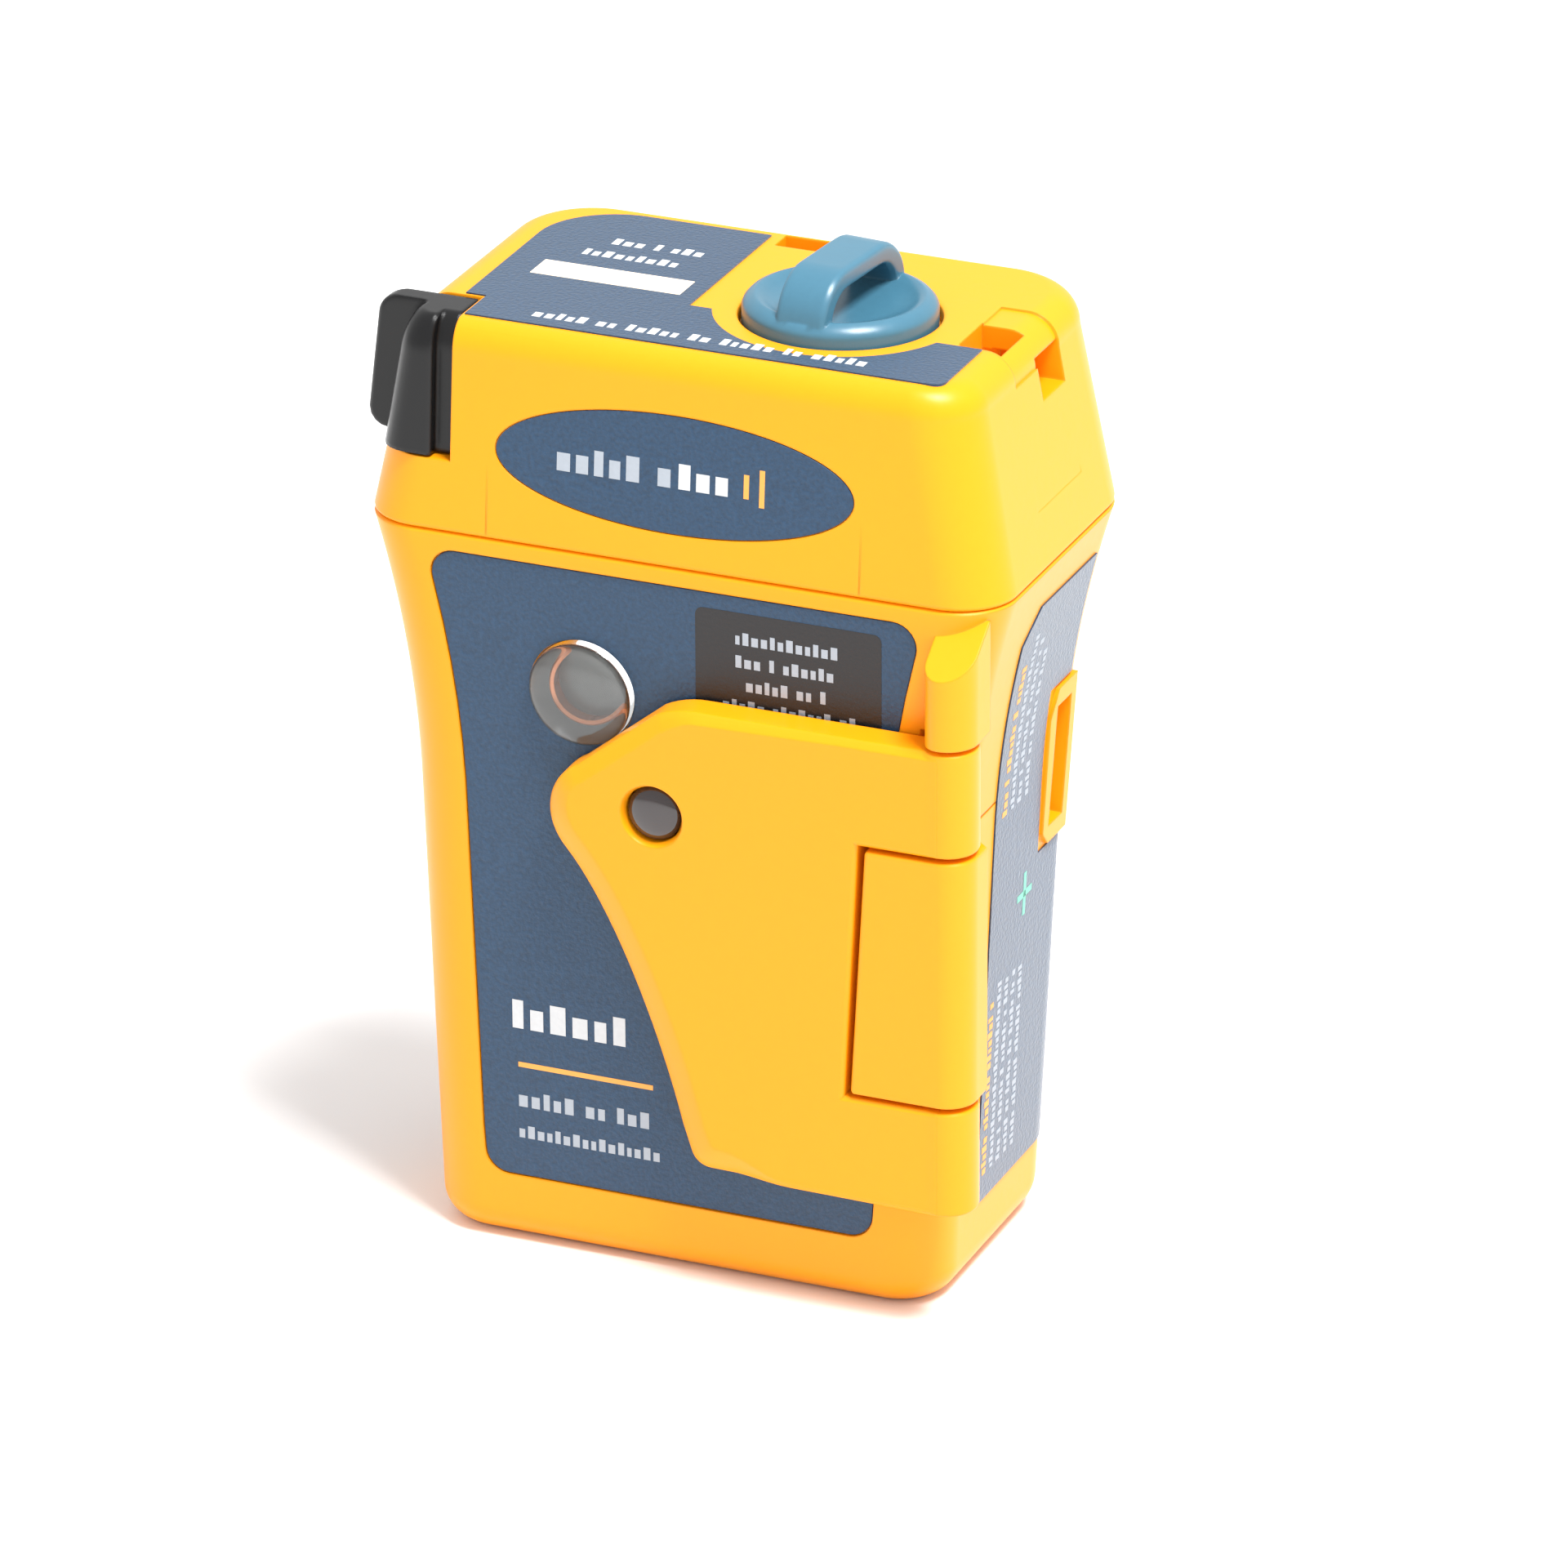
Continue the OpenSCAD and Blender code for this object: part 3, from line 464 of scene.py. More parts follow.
def face_label_outline():
    """Label that follows the case's silhouette, with rounded corners, anticlockwise from the bottom right."""
    r = 1.8
    lean = math.radians(15)           # the case's side leans out this much at the top of the label
    low, high = LABEL_Z
    right = (arc((label_edge(low) - r, low + r), r, -90, 0, 6)
             + [(label_edge(z), z) for z in spread(low + 2 * r, high - r - 0.8, 14)]
             + arc((label_edge(high - r - r * math.sin(lean)) - r * math.cos(lean), high - r), r,
                  -math.degrees(lean), 90, 8))
    return right + [(-x, z) for x, z in reversed(right)]


def side_frame(side):
    """Raised frame round a clip socket: a block with clipped corners that stands off the case's side."""
    clip = 1.1
    root, proud = -1.2, 0.35
    (y0, y1), (z0, z1) = SOCKET_Y, SOCKET_Z
    outline = [(y0 + clip, z0), (y1, z0), (y1, z1), (y0 + clip, z1), (y0, z1 - 2 * clip), (y0, z0 + clip)]
    return loft("side_frame", [[(side * (half_w(z) + x), y, z) for y, z in outline] for x in (root, proud)])


label_outline = face_label_outline()
case = loft("case_body", case_rings())

# The fixed knuckle above the flap. Its top slopes up from its nose to the face of the case.
nose_r = 1.3
knuckle_root = 1.6
knuckle_rear_z = 54.6
slant = (knuckle_rear_z - UPPER_KNUCKLE_Z[1]) / -FLAP_FRONT
knuckle_plan = ([(HINGE[0] - nose_r, knuckle_root)]
                + arc((HINGE[0], FLAP_FRONT + nose_r), nose_r, 180, 262, 8)
                + arc(HINGE, KNUCKLE_R, -90, 0, 14) + [(HINGE[0] + KNUCKLE_R, knuckle_root)])
upper_knuckle = loft("upper_knuckle", [
    [(x, y, UPPER_KNUCKLE_Z[0]) for x, y in knuckle_plan],
    [(x, y, knuckle_rear_z + slant * y) for x, y in knuckle_plan]], FRONT)
shape(case, [upper_knuckle, side_frame(1), side_frame(-1)], "UNION")

cutters = [
    loft("hollow", [case_ring(z, WALL) for z in [WALL] + spread(FLARE_START_Z, SEAM_Z, 8)]
         + [case_ring(SEAM_Z, WALL, SEAM_Z + 1)]),
    slab("front_pocket", grown(label_outline, LABEL_GAP), 0.35, -1),
    slab("rear_pocket", grown(label_outline, LABEL_GAP), 0.35, -1, REAR),
    peg("lens_bore", LENS, LENS_R + 0.06, 4, -1),
    peg("window_bore", WINDOW, LIGHT_BORE_R, 4, -1),
    lathe("knuckle_trough", [(0, FLAP_Z[0] - 0.3), (KNUCKLE_R + 0.3, FLAP_Z[0] - 0.3),
                             (KNUCKLE_R + 0.3, UPPER_KNUCKLE_Z[0] - 0.01), (0, UPPER_KNUCKLE_Z[0] - 0.01)],
          HINGE_AXIS),
    block("cover_pocket", (19, 30), (-4, 2), COVER_Z, FRONT)]
cutters += [peg(f"{name}_bore", pos, BUTTON_R + 0.1, 4, -1) for name, pos in BUTTONS.items()]
socket_mouth = rectangle((SOCKET_Y[0] + 1.0, SOCKET_Y[1] - 1.0), (SOCKET_Z[0] + 1.4, SOCKET_Z[1] - 1.4))
cutters += [loft("socket", [[(side * x, y, z) for y, z in socket_mouth] for x in (20.6, 30)])
            for side in (-1, 1)]
# Parting lines where the hinge cover carries on round the corner as far as the side label
cutters += [block("parting_line", (half_w(z) - 0.12, 30), (-BASE_HALF_D - 3, SIDE_LABEL_Y[0]),
                  (z - 0.08, z + 0.08)) for z in COVER_Z]
shape(case, cutters)
settle(case, yellow, "yellow_case", "case", ["lower_case"])

# ---------- cap ----------


def right_panel(depth):
    """Thin skin to take off the cap's right side, which leaves a shallow panel under the lanyard eye."""
    core = loft("panel_core", [cap_ring(SEAM_Z, depth), cap_ring(DECK_Z - DECK_ROUND[2], depth)]
                + [deck_ring(depth, t) for t in range(0, 91, 10)])
    return shape(block("right_panel", (17.6, 30), (-4.1, 4.6), (60.7, 90)), [core])


cap = loft("cap_body", [
    cap_ring(SEAM_Z + SEAM_EDGE_R * (1 - math.cos(math.radians(t))),
             SEAM_EDGE_R * (1 - math.sin(math.radians(t)))) for t in (0, 30, 60)]
    + [cap_ring(SEAM_Z + SEAM_EDGE_R, 0)] + [deck_ring(0, t) for t in spread(0, 90, 14)])
hollow = loft("cap_hollow", [cap_ring(SEAM_Z - 0.5, WALL), cap_ring(SEAM_Z + 1, WALL)]
              + [deck_ring(WALL, t) for t in spread(0, 90, 6)])
shape(hollow, [
    block("notch_walls", (-40, NOTCH[0] + 1.4), (-30, NOTCH[1] + 1.4), (NOTCH[2] - 1.4, 90)),
    block("lanyard_walls", (16.0, 40), (-5.0, 6.0), (66.2, 90)),
    block("rear_slot_walls", (-3.4, 3.6), (9, 30), (68, 90)),
    lathe("seat_floor", [(0, 69.6), (KNOB_R + 1.2, 69.6), (KNOB_R + 1.2, 90), (0, 90)], WINDER_AXIS)])
deck_label_outline = (
    [(-17.1, -12.0)] + arc((18.5, -11.0), 1.0, -90, 0, 5) + [(19.5, -4.2), (-3.0, -4.2), (-3.0, 11.5)]
    + arc((-12.8, 5.5), 6.0, 90, 180, 12) + [(-18.7, -8.1), (-17.1, -8.1)])
badge_outline = [(13.75 * math.cos(a), BADGE_Z - SEAM_Z + 4.4 * math.sin(a))
                 for a in spread(0, math.tau * 95 / 96, 95)]
shape(cap, [
    hollow,
    right_panel(0.14),
    lathe("knob_seat", [(0, KNOB_Z[0] - 0.2), (KNOB_R + 0.2, KNOB_Z[0] - 0.2), (KNOB_R + 0.2, DECK_Z - 0.4),
                        (KNOB_R + 0.32, DECK_Z - 0.12), (KNOB_R + 0.6, DECK_Z), (KNOB_R + 0.6, 80), (0, 80)],
          WINDER_AXIS, 96),
    lathe("spindle_bore", [(0, 60), (2.25, 60), (2.25, 80), (0, 80)], WINDER_AXIS, 48),
    block("notch", (-40, NOTCH[0]), (-30, NOTCH[1]), (NOTCH[2], 90)),
    block("tape_slot", (NOTCH[0] - 1, NOTCH[0] + 2), (TAPE_Y[0] - 0.3, TAPE_Y[1] + 0.4),
          (TAPE_Z[0] - 0.4, TAPE_Z[1] + 0.4)),
    block("lanyard_top_slot", (17.5, 20.7), (-3.6, 1.0), (67.6, 90)),
    block("lanyard_passage", (17.6, 20.6), (-3.5, 4.5), (67.6, 70.5)),
    block("lanyard_side_slot", (18.3, 40), (0.2, 4.6), (67.5, 70.6)),
    block("rear_slot", (-2.1, 2.3), (9.9, 12.1), (69.2, 90)),
    block("witness_left", (-14.46, -14.34), (-2, 0.05), (-1, 13), CAP_FRONT),
    block("witness_right", (14.34, 14.46), (-2, 0.05), (-1, 13), CAP_FRONT),
    slab("badge_pocket", grown(badge_outline, 0.08), 0.25, -1, CAP_FRONT)])
settle(cap, yellow, "yellow_case", "case", ["upper_case"])

# ---------- labels and print ----------

face_label = slab("face_label", label_outline, 0.33, LABEL_SINK, FRONT, 0.06)
shape(face_label, [
    peg("lens_hole", LENS, LENS_R + 0.12, 1, -1), peg("window_hole", WINDOW, LIGHT_BORE_R + 0.15, 1, -1),
    block("hinge_gap", (COVER_LEFT[0] - 0.6, 30), (-1, 1), (COVER_Z[0] - 0.3, COVER_Z[1] + 0.3), FRONT)]
      + [peg(f"{name}_hole", pos, BUTTON_R + 0.3, 1, -1) for name, pos in BUTTONS.items()])
settle(face_label, label_film, "label_blue", "case", ["front_label"])
back_label = slab("back_label", label_outline, 0.33, LABEL_SINK, REAR, 0.06)
settle(back_label, label_film, "label_blue", "case", ["rear_label"])
badge = slab("badge", badge_outline, 0.24, BADGE_SINK, CAP_FRONT, 0.05)
settle(badge, label_film, "label_blue", "case", ["cap_badge"])

deck_label = loft("top_label", [[(x, y, z) for x, y in deck_label_outline]
                                for z in (DECK_Z - 0.4, DECK_Z + DECK_FILM)])
bite_r = 9.2                          # the label keeps this far from the knob's axis
shape(deck_label, [lathe("knob_bite", [(0, 70), (bite_r, 70), (bite_r, 75), (0, 75)], WINDER_AXIS, 96)])
settle(deck_label, label_film, "label_blue", "case", ["deck_label"])

for side, name in ((1, "right"), (-1, "left")):
    clip = 2.4
    (y0, y1), (z0, z1) = SIDE_LABEL_Y, SIDE_LABEL_Z
    outline = [(y0, z0), (y1, z0), (y1, z1), (y0 + clip, z1), (y0, z1 - clip)]
    skin = loft(f"side_label_{name}_film", [[(side * x, y, z) for y, z in outline] for x in (10, 30)])
    outer = loft("outer", [case_ring(z, -SIDE_FILM) for z in [5] + spread(FLARE_START_Z, 54, 14)])
    inner = loft("inner", [case_ring(z, 0.02) for z in [4] + spread(FLARE_START_Z, 55, 14)])
    shape(skin, [outer], "INTERSECT")
    shape(skin, [inner, block("socket_gap", (0, side * 40), (SOCKET_Y[0] - 0.3, 20),
                              (SOCKET_Z[0] - 0.3, SOCKET_Z[1] + 0.3))])
    settle(skin, label_film, "label_blue", "case", [f"side_label_{name}"])


# Where a print mark lies on each surface, at a small lift above the film

def on_front(x, z, lift):
    return FRONT @ Vector((x, LABEL_SINK - lift, z))


def on_rear(x, z, lift):
    return REAR @ Vector((x, LABEL_SINK - lift, z))


def on_badge(x, z, lift):
    return CAP_FRONT @ Vector((x, BADGE_SINK - lift, z + BADGE_Z - SEAM_Z))


def on_deck(x, y, lift):
    return Vector((x, y, DECK_Z + DECK_FILM + lift))


def on_right(y, z, lift):
    return Vector((half_w(z) + SIDE_FILM + lift, y, z))


def on_left(y, z, lift):
    return Vector((-half_w(z) - SIDE_FILM - lift, y, z))


INK = 0.02                            # half the thickness of a print mark


def print_marks(name, marks, surface, material, slot="label_blue"):
    """Plain printed bars, each a (u range, v range) on a surface, from just under the film to just above."""
    mesh = bmesh.new()
    for (u0, u1), (v0, v1) in marks:
        corners = [(u0, v0), (u1, v0), (u1, v1), (u0, v1)]
        add_loft(mesh, [[surface(u, v, lift) for u, v in corners] for lift in (-INK, INK)])
    settle(piece(name, mesh), material, slot, "case")


def row(start, length, level, height, seed, along_u=True):
    """A line of small plain blocks in groups, in place of writing."""
    marks, at, k = [], start, seed
    foot = level - height / 2
    while at < start + length - 0.4 * height:
        width = height * (0.34 + 0.2 * abs(math.sin(2.4 * k)))
        span = (at, at + width)
        across = (foot, foot + height * (1.0 if k * k % 5 == 1 else 0.72))
        marks.append((span, across) if along_u else ((2 * level - across[1], 2 * level - across[0]), span))
        at += width + height * (0.75 if (k * k + seed) % 7 == 3 else 0.24)
        k += 1
    return marks


black_area = slab("gps_print_area", rectangle((1.8, 16.1), (39.5, 53.9), 0.6), LABEL_SINK + 0.02,
                  LABEL_SINK - INK)
settle(black_area, black_film, "label_blue", "case")
gps_lines = [(4.9, 8.0, 51.9), (4.9, 8.4, 50.1), (5.7, 6.6, 48.3), (3.9, 10.2, 46.6)]
gps_marks = [m for k, (x, length, z) in enumerate(gps_lines) for m in row(x, length, z, 0.95, k)]
print_marks("gps_print_lines", gps_marks, lambda x, z, lift: on_front(x, z, lift + INK), grey_ink)
print_marks("face_print_large", row(-13.0, 9.6, 18.8, 2.3, 4), on_front, white_ink)
print_marks("face_print_line", [((-12.6, -1.9), (14.5, 14.9))], on_front, orange_ink)
print_marks("face_print_rows", row(-12.6, 11.0, 11.9, 1.3, 2) + row(-12.6, 11.2, 9.2, 1.0, 5),
            on_front, grey_ink)
print_marks("badge_print_thin", row(-9.0, 8.6, 0.0, 1.9, 2), on_badge, grey_ink)
print_marks("badge_print_thick", row(0.4, 4.6, 0.0, 1.9, 1), on_badge, white_ink)
print_marks("badge_print_orange", [((5.4, 5.8), (-0.9, 0.9)), ((6.6, 7.0), (-1.4, 1.4))],
            on_badge, orange_ink)
print_marks("deck_print_rows", row(-13.0, 7.6, 5.7, 1.2, 1) + row(-14.2, 7.4, 3.0, 1.2, 4)
            + row(-12.5, 26.5, -10.1, 1.2, 2), on_deck, white_ink)
print_marks("deck_print_box", [((-16.1, -4.4), (-2.6, 0.3))], on_deck, cream_ink)
side_orange = row(36.5, 12.0, -3.5, 0.9, 1, False) + row(8.0, 14.0, -4.2, 0.9, 3, False)
side_grey = [m for k, y in enumerate((-2.0, -0.6, 0.8)) for m in row(36.5, 14.0 - k, y, 0.8, k, False)]
side_grey += [m for k, y in enumerate((-2.7, -1.3, 0.1, 1.5)) for m in row(8.0, 15.0, y, 0.8, k, False)]
side_green = [((1.4, 1.9), (26.6, 30.0)), ((0.2, 3.1), (28.05, 28.55))]
for surface, name in ((on_right, "right"), (on_left, "left")):
    print_marks(f"{name}_print_orange", side_orange, surface, orange_ink)
    print_marks(f"{name}_print_grey", side_grey, surface, grey_ink)
    print_marks(f"{name}_print_green", side_green, surface, green_ink)
print_marks("rear_print_large", row(-12.0, 10.0, 48.6, 2.0, 4), on_rear, white_ink)
rear_marks = [m for k in range(11) for m in row(-12.0, 22.0 + 1.5 * math.sin(k), 43.5 - 2.6 * k, 0.9, k)]
print_marks("rear_print_rows", rear_marks, on_rear, grey_ink)

# ---------- lights in the face ----------

strobe = outward(*LENS)
dome = [(LENS_R * math.cos(math.radians(a)), 0.15 + 1.2 * math.sin(math.radians(a)))
        for a in spread(8, 84, 12)]
lens = lathe("strobe_dome", [(0, -0.35), (LENS_R, -0.35), (LENS_R, 0.1)] + dome + [(0, 1.36)], strobe, 96, 50)
settle(lens, lens_clear, "clear_lens", "case", ["strobe_lens"])
bowl = lathe("strobe_reflector", [(LENS_R + 0.05, -0.5), (LENS_R + 0.05, -2.6), (2.5, -2.6), (2.3, -1.5),
                                  (2.6, -1.3), (3.6, -0.9), (LENS_R - 0.1, -0.5), (LENS_R + 0.05, -0.5)],
             strobe, 72)
settle(bowl, reflector_grey, "black_plastic", "case")
ring = lathe("strobe_ring", [(2.28, -2.4), (2.28, -1.35), (2.5, -1.25), (2.62, -1.32), (2.5, -1.6),
                             (2.4, -2.4), (2.28, -2.4)], strobe, 72)
settle(ring, copper_ring, "gold", "case")
seat = lathe("strobe_seat", [(0, -2.7), (2.4, -2.7), (2.4, -2.3), (0, -2.25)], strobe, 48)
settle(seat, silicon, "led", "case")

# ---------- flap, its window and the hinge cover ----------


def eased(t):
    """0 to 1 with a soft start and a soft end."""
    return t * t * (3 - 2 * t)


def flap_edges():
    """The flap's outline as (outer point, inner point, height of the edge's shoulder).

    The plate's face is flat inside the inner points and slopes down to the shoulder at the outer ones."""
    rows = []
    wide, narrow = 2.4, 0.55
    low, high = -1.6, -2.45           # shoulder of the wide slope and of the narrow one
    top = FLAP_Z[1]

    def around(centre, r, start, end, steps, slope_from, slope_to):
        for k, (outer, t) in enumerate(zip(arc(centre, r, start, end, steps), spread(0, 1, steps))):
            width = slope_from + (slope_to - slope_from) * eased(t)
            share = (width - narrow) / (wide - narrow)
            direction = (Vector(outer) - Vector(centre)) / r
            rows.append((outer, tuple(Vector(outer) - direction * width), high + (low - high) * share))

    rows.append(((HINGE[0], top), (HINGE[0], top - narrow), high))
    rows.append(((14.0, top), (14.0, top - narrow), high))
    around((2.9, top - 7), 7, 90, 118, 6, 0.8, 1.3)
    around((-4.3, 37), 4.6, 118, 221, 18, 1.3, wide)
    start = Vector((-4.3 + 4.6 * math.cos(math.radians(221)), 37 + 4.6 * math.sin(math.radians(221))))
    a, b, end = start + Vector((3.5, -4.1)), Vector((-0.5, 20.5)), Vector((1.5, FLAP_Z[0] + 2))
    for t in spread(0, 1, 20)[1:-1]:
        u = 1 - t
        p = u ** 3 * start + 3 * u * u * t * a + 3 * u * t * t * b + t ** 3 * end
        along = (3 * u * u * (a - start) + 6 * u * t * (b - a) + 3 * t * t * (end - b)).normalized()
        rows.append((tuple(p), tuple(p + Vector((-along.y, along.x)) * wide), low))
    corner_centre, corner_r, inner_r = Vector((3.4, FLAP_Z[0] + 1.6)), 1.6, 0.7
    lead_in, lead_out = 195, 270
    middle = math.radians((lead_in + lead_out) / 2)
    shift = (wide + inner_r - corner_r) / math.cos(math.radians((lead_out - lead_in) / 2))
    inner_centre = corner_centre - shift * Vector((math.cos(middle), math.sin(middle)))
    for outer, inner in zip(arc(corner_centre, corner_r, lead_in, lead_out, 8),
                            arc(inner_centre, inner_r, lead_in, lead_out, 8)):
        rows.append((outer, inner, low))
    for t in spread(0, 1, 6)[1:]:
        x = 4.6 + 5.4 * t
        width = wide + (narrow - wide) * eased(t)
        rows.append(((x, FLAP_Z[0]), (max(x, inner_centre.x + 0.5 * t), FLAP_Z[0] + width),
                     low + (high - low) * eased(t)))
    for x, z, dx, dz in ((HINGE[0], FLAP_Z[0], 0, 1), (HINGE[0], COVER_Z[0] - KNUCKLE_GAP, 0, -1),
                         (COVER_LEFT[0] - KNUCKLE_GAP - 0.2, COVER_Z[0] - KNUCKLE_GAP, -1, -1),
                         (COVER_LEFT[1] - KNUCKLE_GAP - 0.2, COVER_Z[1] + KNUCKLE_GAP, -1, 1),
                         (HINGE[0], COVER_Z[1] + KNUCKLE_GAP, 0, 1)):
        rows.append(((x, z), (x + dx * 0.3, z + dz * 0.3), FLAP_FRONT + 0.3))
    return rows


def flap_rings():
    """Rings from the plate's back, up its wall, round the shoulder and over the slope to the flat face."""
    edges = flap_edges()
    rings = [[(o[0], FLAP_BACK, o[1]) for o, _, _ in edges]]
    steps = [(0.0, 0.0), (0.03, 0.12), (0.12, 0.3), (0.5, 0.68), (0.84, 0.93), (0.94, 0.985), (1.0, 1.0)]
    for share, rise in steps:
        ring = []
        for outer, inner, shoulder in edges:
            x, z = Vector(outer).lerp(Vector(inner), share)
            ring.append((x, shoulder + (FLAP_FRONT - shoulder) * rise, z))
        rings.append(ring)
    return rings


flap = loft("flap_plate", flap_rings(), FRONT)
shape(flap, [
    lathe("window_hole", [(0, -1), (WINDOW_R + 0.1, -1), (WINDOW_R + 0.1, 2.55), (WINDOW_R + 0.45, 3.2),
                          (WINDOW_R + 0.45, 6), (0, 6)], outward(*WINDOW), 72),
    block("button_room", (2.8, 13.4), (FLAP_BACK - 1.45, 1), (14.4, 35.6), FRONT),
    lathe("pin_bore", [(0, 0), (PIN_BORE, 0), (PIN_BORE, 60), (0, 60)], HINGE_AXIS, 32)])
for low, high in ((FLAP_Z[0], COVER_Z[0] - KNUCKLE_GAP), (COVER_Z[1] + KNUCKLE_GAP, FLAP_Z[1])):
    foot, head = low + 0.02, high - 0.02
    join(flap, lathe("flap_knuckle", [
        (PIN_BORE, foot), (KNUCKLE_R - 0.3, foot), (KNUCKLE_R - 0.09, foot + 0.09), (KNUCKLE_R, foot + 0.3),
        (KNUCKLE_R, head - 0.3), (KNUCKLE_R - 0.09, head - 0.09), (KNUCKLE_R - 0.3, head), (PIN_BORE, head),
        (PIN_BORE, foot)], HINGE_AXIS, 96))
settle(flap, yellow_smooth, "yellow_case", "flap", ["flap"])

tinted = [(WINDOW_R * math.cos(math.radians(a)), 2.2 + 0.75 * math.sin(math.radians(a)))
          for a in spread(0, 80, 10)]
window = lathe("flap_lens", [(0, 0.95), (WINDOW_R, 0.95)] + tinted + [(0, 2.96)], outward(*WINDOW), 72, 60)
settle(window, window_tint, "dark_window", "flap", ["flap_window"])


def cover_ring(z, left, inset):
    """Plan of the hinge cover: a rounded left edge, the flat front and the barrel round the hinge pin."""
    r = 0.35
    plan = ([(left, -0.02), (left, FLAP_FRONT + r)] + arc((left + r, FLAP_FRONT + r), r, 180, 270, 5)
            + arc(HINGE, KNUCKLE_R, -90, 0, 16)
            + [(HINGE[0] + KNUCKLE_R, 1.2), (HINGE[0] + 1.4, 2), (19, 2), (19, -0.02)])
    return [(x, y, z) for x, y in (grown(plan, -inset) if inset else plan)]


cover_levels = [(0.0, 0.3), (0.09, 0.09), (0.3, 0.0)]
cover_rings = [cover_ring(COVER_Z[0] + rise, COVER_LEFT[0], inset) for rise, inset in cover_levels]
cover_rings += [cover_ring(COVER_Z[1] - rise, COVER_LEFT[1], inset) for rise, inset in reversed(cover_levels)]
cover = loft("hinge_cover_body", cover_rings, FRONT)
settle(cover, yellow_smooth, "yellow_case", "case", ["hinge_cover"])

crown_r = 0.5
crown = arc((BUTTON_R - crown_r, 0.7), crown_r, 0, 90, 5)
button_profile = ([(0, -4.7), (1, -4.7), (1, -2.1), (3.9, -2.1), (3.9, -1.8), (BUTTON_R, -1.8)]
                  + crown + [(1.6, 1.05), (0, 1.0)])
button_finish = {"on_button": (red_plastic, "red_button"), "test_button": (grey_plastic, "grey_button")}
for name, pos in BUTTONS.items():
    settle(lathe(f"{name}_cap", button_profile, outward(*pos)), *button_finish[name], name, [name])

# ---------- winder knob ----------

rim = KNOB_Z[1]
# How far in from the knob's edge and how far below its rim, from the rim's outside to the dish
rim_profile = [(0, 0.9), (0.12, 0.6), (0.5, 0.2), (0.95, 0), (1.3, 0.06), (1.7, 0.35), (2.3, 0.62),
               (3.2, 0.75)]
knob = lathe("knob_body", [(0, 58.8), (2.2, 58.8), (2.2, KNOB_Z[0]), (KNOB_R, KNOB_Z[0])]
             + [(KNOB_R - inward, rim - down) for inward, down in rim_profile] + [(0, rim - 0.8)],
             WINDER_AXIS, 120, 40)
handle_turn = Matrix.Rotation(math.radians(84.7), 4, "Z")
outer_half, band = 6.6, 1.6           # half the width of the handle and the thickness of its arch


def handle_profile():
    """Arch of the knob's handle in its own upright plane, with legs that spread a little at the foot."""
    top, r = HANDLE_TOP_Z, 3.9
    foot, foot_half = rim - 0.9, outer_half + 0.25
    outside = ([(foot_half, foot)] + arc((outer_half - r, top - r), r, 8, 90, 10)
               + arc((r - outer_half, top - r), r, 90, 172, 10) + [(-foot_half, foot)])
    inner_half, inner_r = outer_half - band, 2.4
    inside = ([(-inner_half, foot)] + arc((inner_r - inner_half, top - band - inner_r), inner_r, 178, 90, 8)
              + arc((inner_half - inner_r, top - band - inner_r), inner_r, 90, 2, 8) + [(inner_half, foot)])
    return outside + inside


handle_levels = [(1.5, 0), (1.7, 0.06), (1.9, 0.2), (2.0, 0.45)]
handle_levels = [(-y, inset) for y, inset in reversed(handle_levels)] + handle_levels
handle = loft("knob_handle", [[(x, y, z) for x, z in grown(handle_profile(), -inset)]
                              for y, inset in handle_levels], WINDER_AXIS @ handle_turn)
shape(knob, [handle], "UNION")
settle(knob, knob_plastic, "knob_blue", "winder", ["winder_knob"])

# ---------- antenna tab and tape ----------


TAB_ROUND = (1.3, 1.5, 2.8)           # width, depth and height of the rounding on top of the tab


def tab_ring(z, turn):
    """Plan of the pull tab: a lobe that fills the cap's corner, a waist behind it and a fin to grip."""
    pull = 1 - math.cos(math.radians(turn))
    w = cap_half_w(z) - 0.05 - TAB_ROUND[0] * pull
    d = cap_half_d(z) - 0.05 - TAB_ROUND[1] * pull
    fin_front, rear, fin_r = -10.3, -8.75, 1.5
    near_end = min(z - NOTCH[2] - 0.2, DECK_Z - z, fin_r)
    fin_x = -25.6 + 0.11 * (z - 63) + fin_r - math.sqrt(max(fin_r ** 2 - (fin_r - near_end) ** 2, 0))
    fin_x = min(fin_x, -w - 0.05)
    step_x, step = -18.9, 1.0
    lobe = d + fin_front
    right = NOTCH[0] - 0.15
    points = [(right, rear), (right, -d + step), (step_x, -d + step), (step_x, -d), (-w, -d),
              (-w + 0.2 * lobe, fin_front), (fin_x, fin_front), (fin_x, rear)]
    radii = [0.1, 0.1, 0.15, 0.3, min(0.6 * lobe, 0.7 * (w + step_x)), 0.2 * lobe, 0.45, 0.45]
    return [(x, y, z) for x, y in filleted(points, radii)]


tab_levels = [(z, 0) for z in [62.1, 62.2, 62.45, 62.9, 63.5, 66, 68, DECK_Z - TAB_ROUND[2]]]
tab_levels += [(DECK_Z - TAB_ROUND[2] * (1 - math.sin(math.radians(t))), t) for t in spread(0, 84, 12)[1:]]
tab = loft("pull_tab", [tab_ring(z, turn) for z, turn in tab_levels], UPRIGHT, 45)
settle(tab, tab_rubber, "black_tab", "antenna", ["antenna_tab"])

# The strip has many cross-sections, because it lengthens as the antenna comes out
section = [(TAPE_Y[0], TAPE_Z[0]), (TAPE_Y[0], TAPE_Z[1]), (TAPE_Y[1], TAPE_Z[1]), (TAPE_Y[1], TAPE_Z[0])]
tape = loft("antenna_strip", [[(x, y, z) for y, z in section] for x in spread(WINDER[0], NOTCH[0] - 0.1, 80)])
tape.data.materials.append(steel)
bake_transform(tape)
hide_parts("antenna_tape")

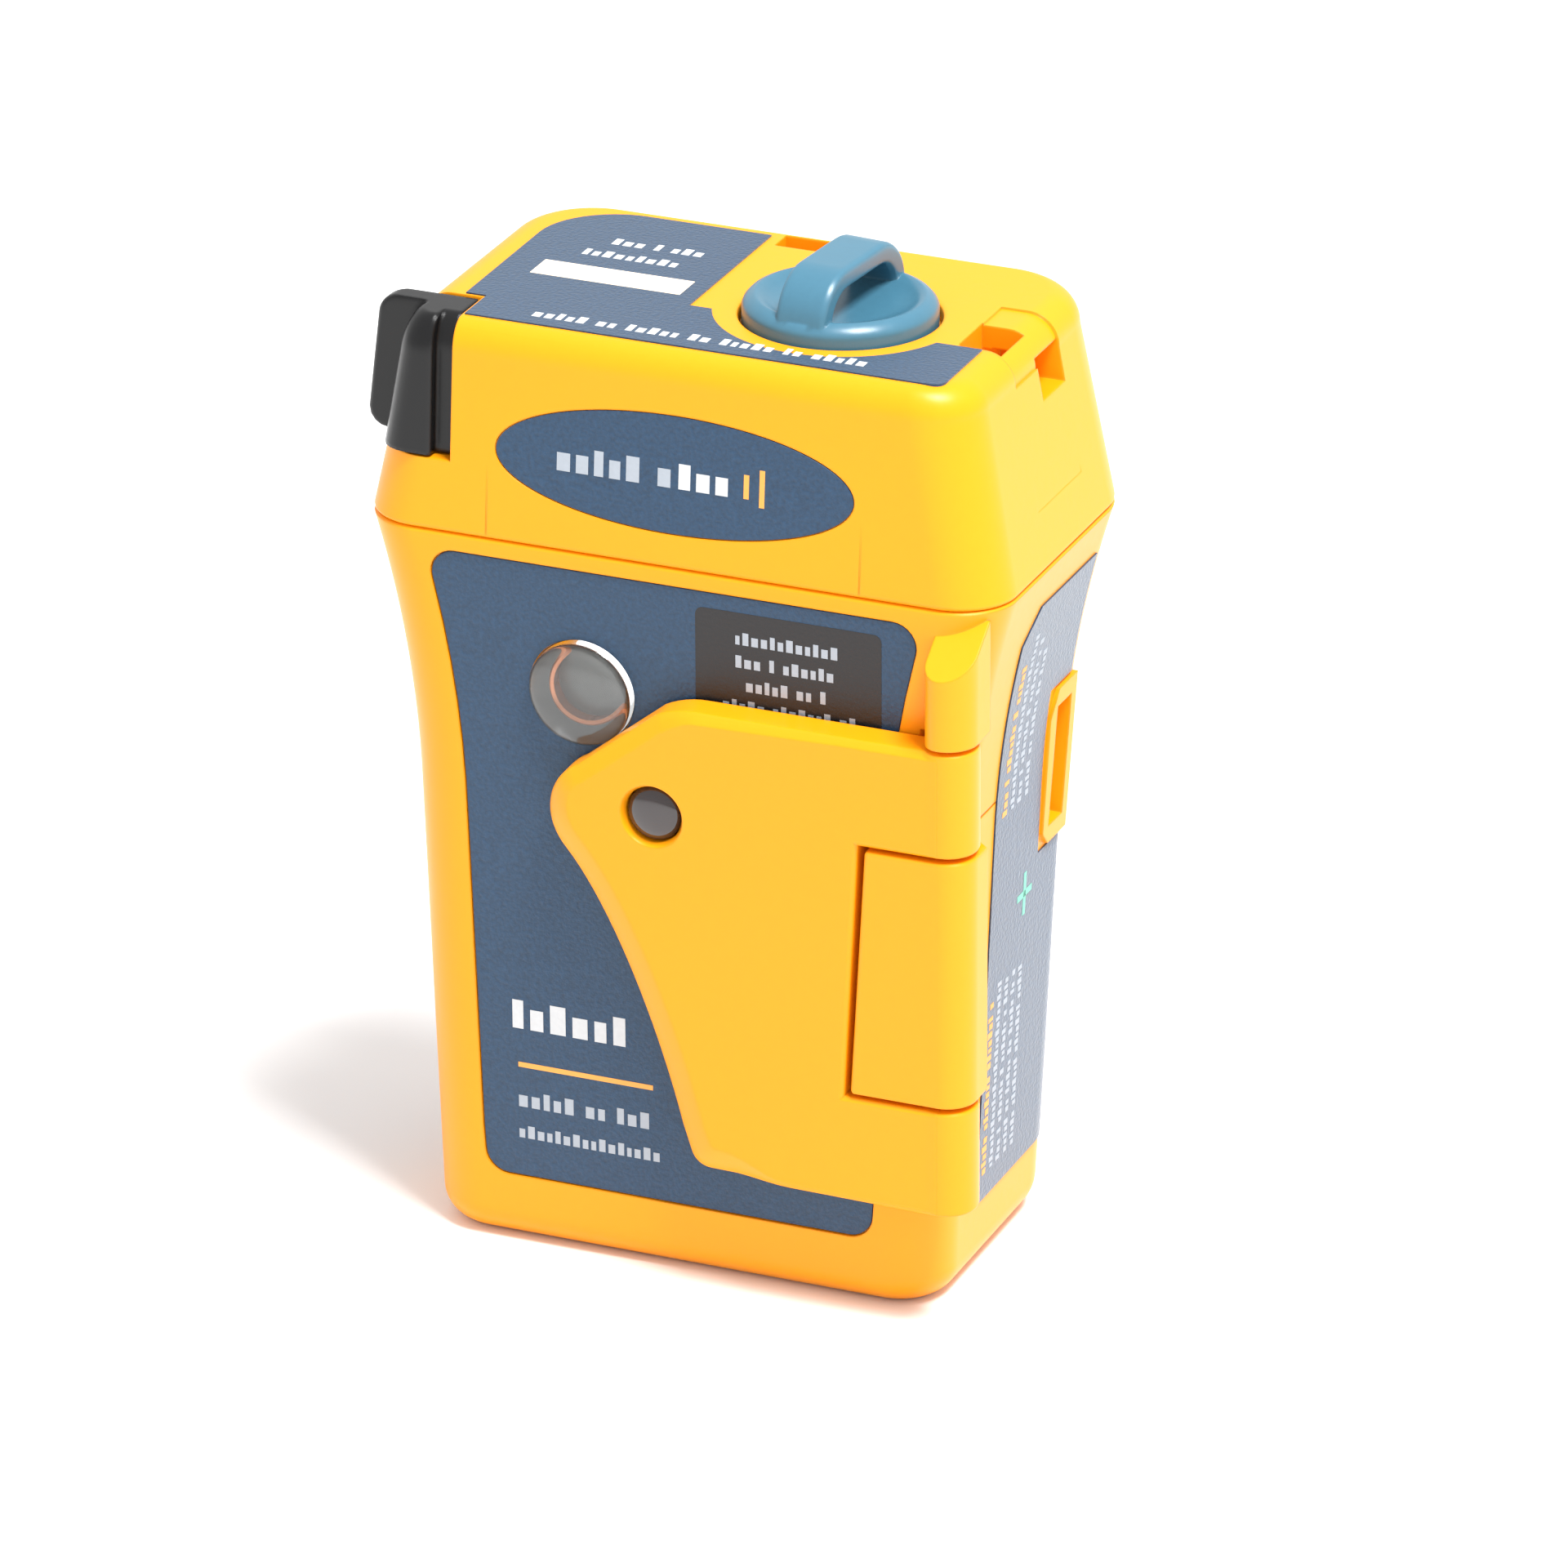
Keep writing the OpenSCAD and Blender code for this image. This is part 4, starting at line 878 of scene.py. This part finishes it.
# ---------- floor, light and camera ----------

scene = bpy.context.scene
scene.view_settings.view_transform = "Standard"

FLOOR_HALF = 3000
floor_mesh = bmesh.new()
bmesh.ops.create_grid(floor_mesh, x_segments=1, y_segments=1, size=FLOOR_HALF)
floor = piece("floor", floor_mesh)
floor.data.materials.append(plastic("floor_paper", (0.91, 0.907, 0.904, 1), 0.01, 20, 0.8, 0.0))

world = bpy.data.worlds.new("studio")
scene.world = world
world.use_nodes = True
world.node_tree.nodes["Background"].inputs["Color"].default_value = (1.0, 1.0, 1.0, 1)
world.node_tree.nodes["Background"].inputs["Strength"].default_value = 0.95


def softbox(name, direction, distance, size, power):
    """Square area light aimed at the middle of the object. Sizes are in metres and the power in watts."""
    light = bpy.data.lights.new(name, "AREA")
    light.size, light.energy = size, power
    lamp = bpy.data.objects.new(name, light)
    scene.collection.objects.link(lamp)
    towards = Vector(direction).normalized()
    lamp.location = Vector((0, 0, 0.035)) + towards * distance
    lamp.rotation_mode = "QUATERNION"
    lamp.rotation_quaternion = towards.to_track_quat("Z", "Y")


softbox("key", direction=(0.35, -0.18, 0.92), distance=1.0, size=0.3, power=17.0)

# The camera stands where the photo's viewpoint was found to be, with a long lens
azimuth, elevation, roll = math.radians(21.9), math.radians(23.3), math.radians(0.5)
distance, target = 0.772, Vector((2.55, 1.03, 34.05)) * MM
back = Vector((math.sin(azimuth) * math.cos(elevation), -math.cos(azimuth) * math.cos(elevation),
               math.sin(elevation)))
level = Vector((math.cos(azimuth), math.sin(azimuth), 0))
upright = back.cross(level)
right = math.cos(roll) * level + math.sin(roll) * upright
up = -math.sin(roll) * level + math.cos(roll) * upright
camera = bpy.data.objects.new("camera", bpy.data.cameras.new("camera"))
camera.data.sensor_width = 36
camera.data.lens = 241.9
camera.data.clip_start, camera.data.clip_end = 0.01, 50
scene.collection.objects.link(camera)
camera.rotation_mode = "QUATERNION"
camera.rotation_quaternion = Matrix((right, up, back)).transposed().to_quaternion()
camera.location = target + back * distance
scene.camera = camera
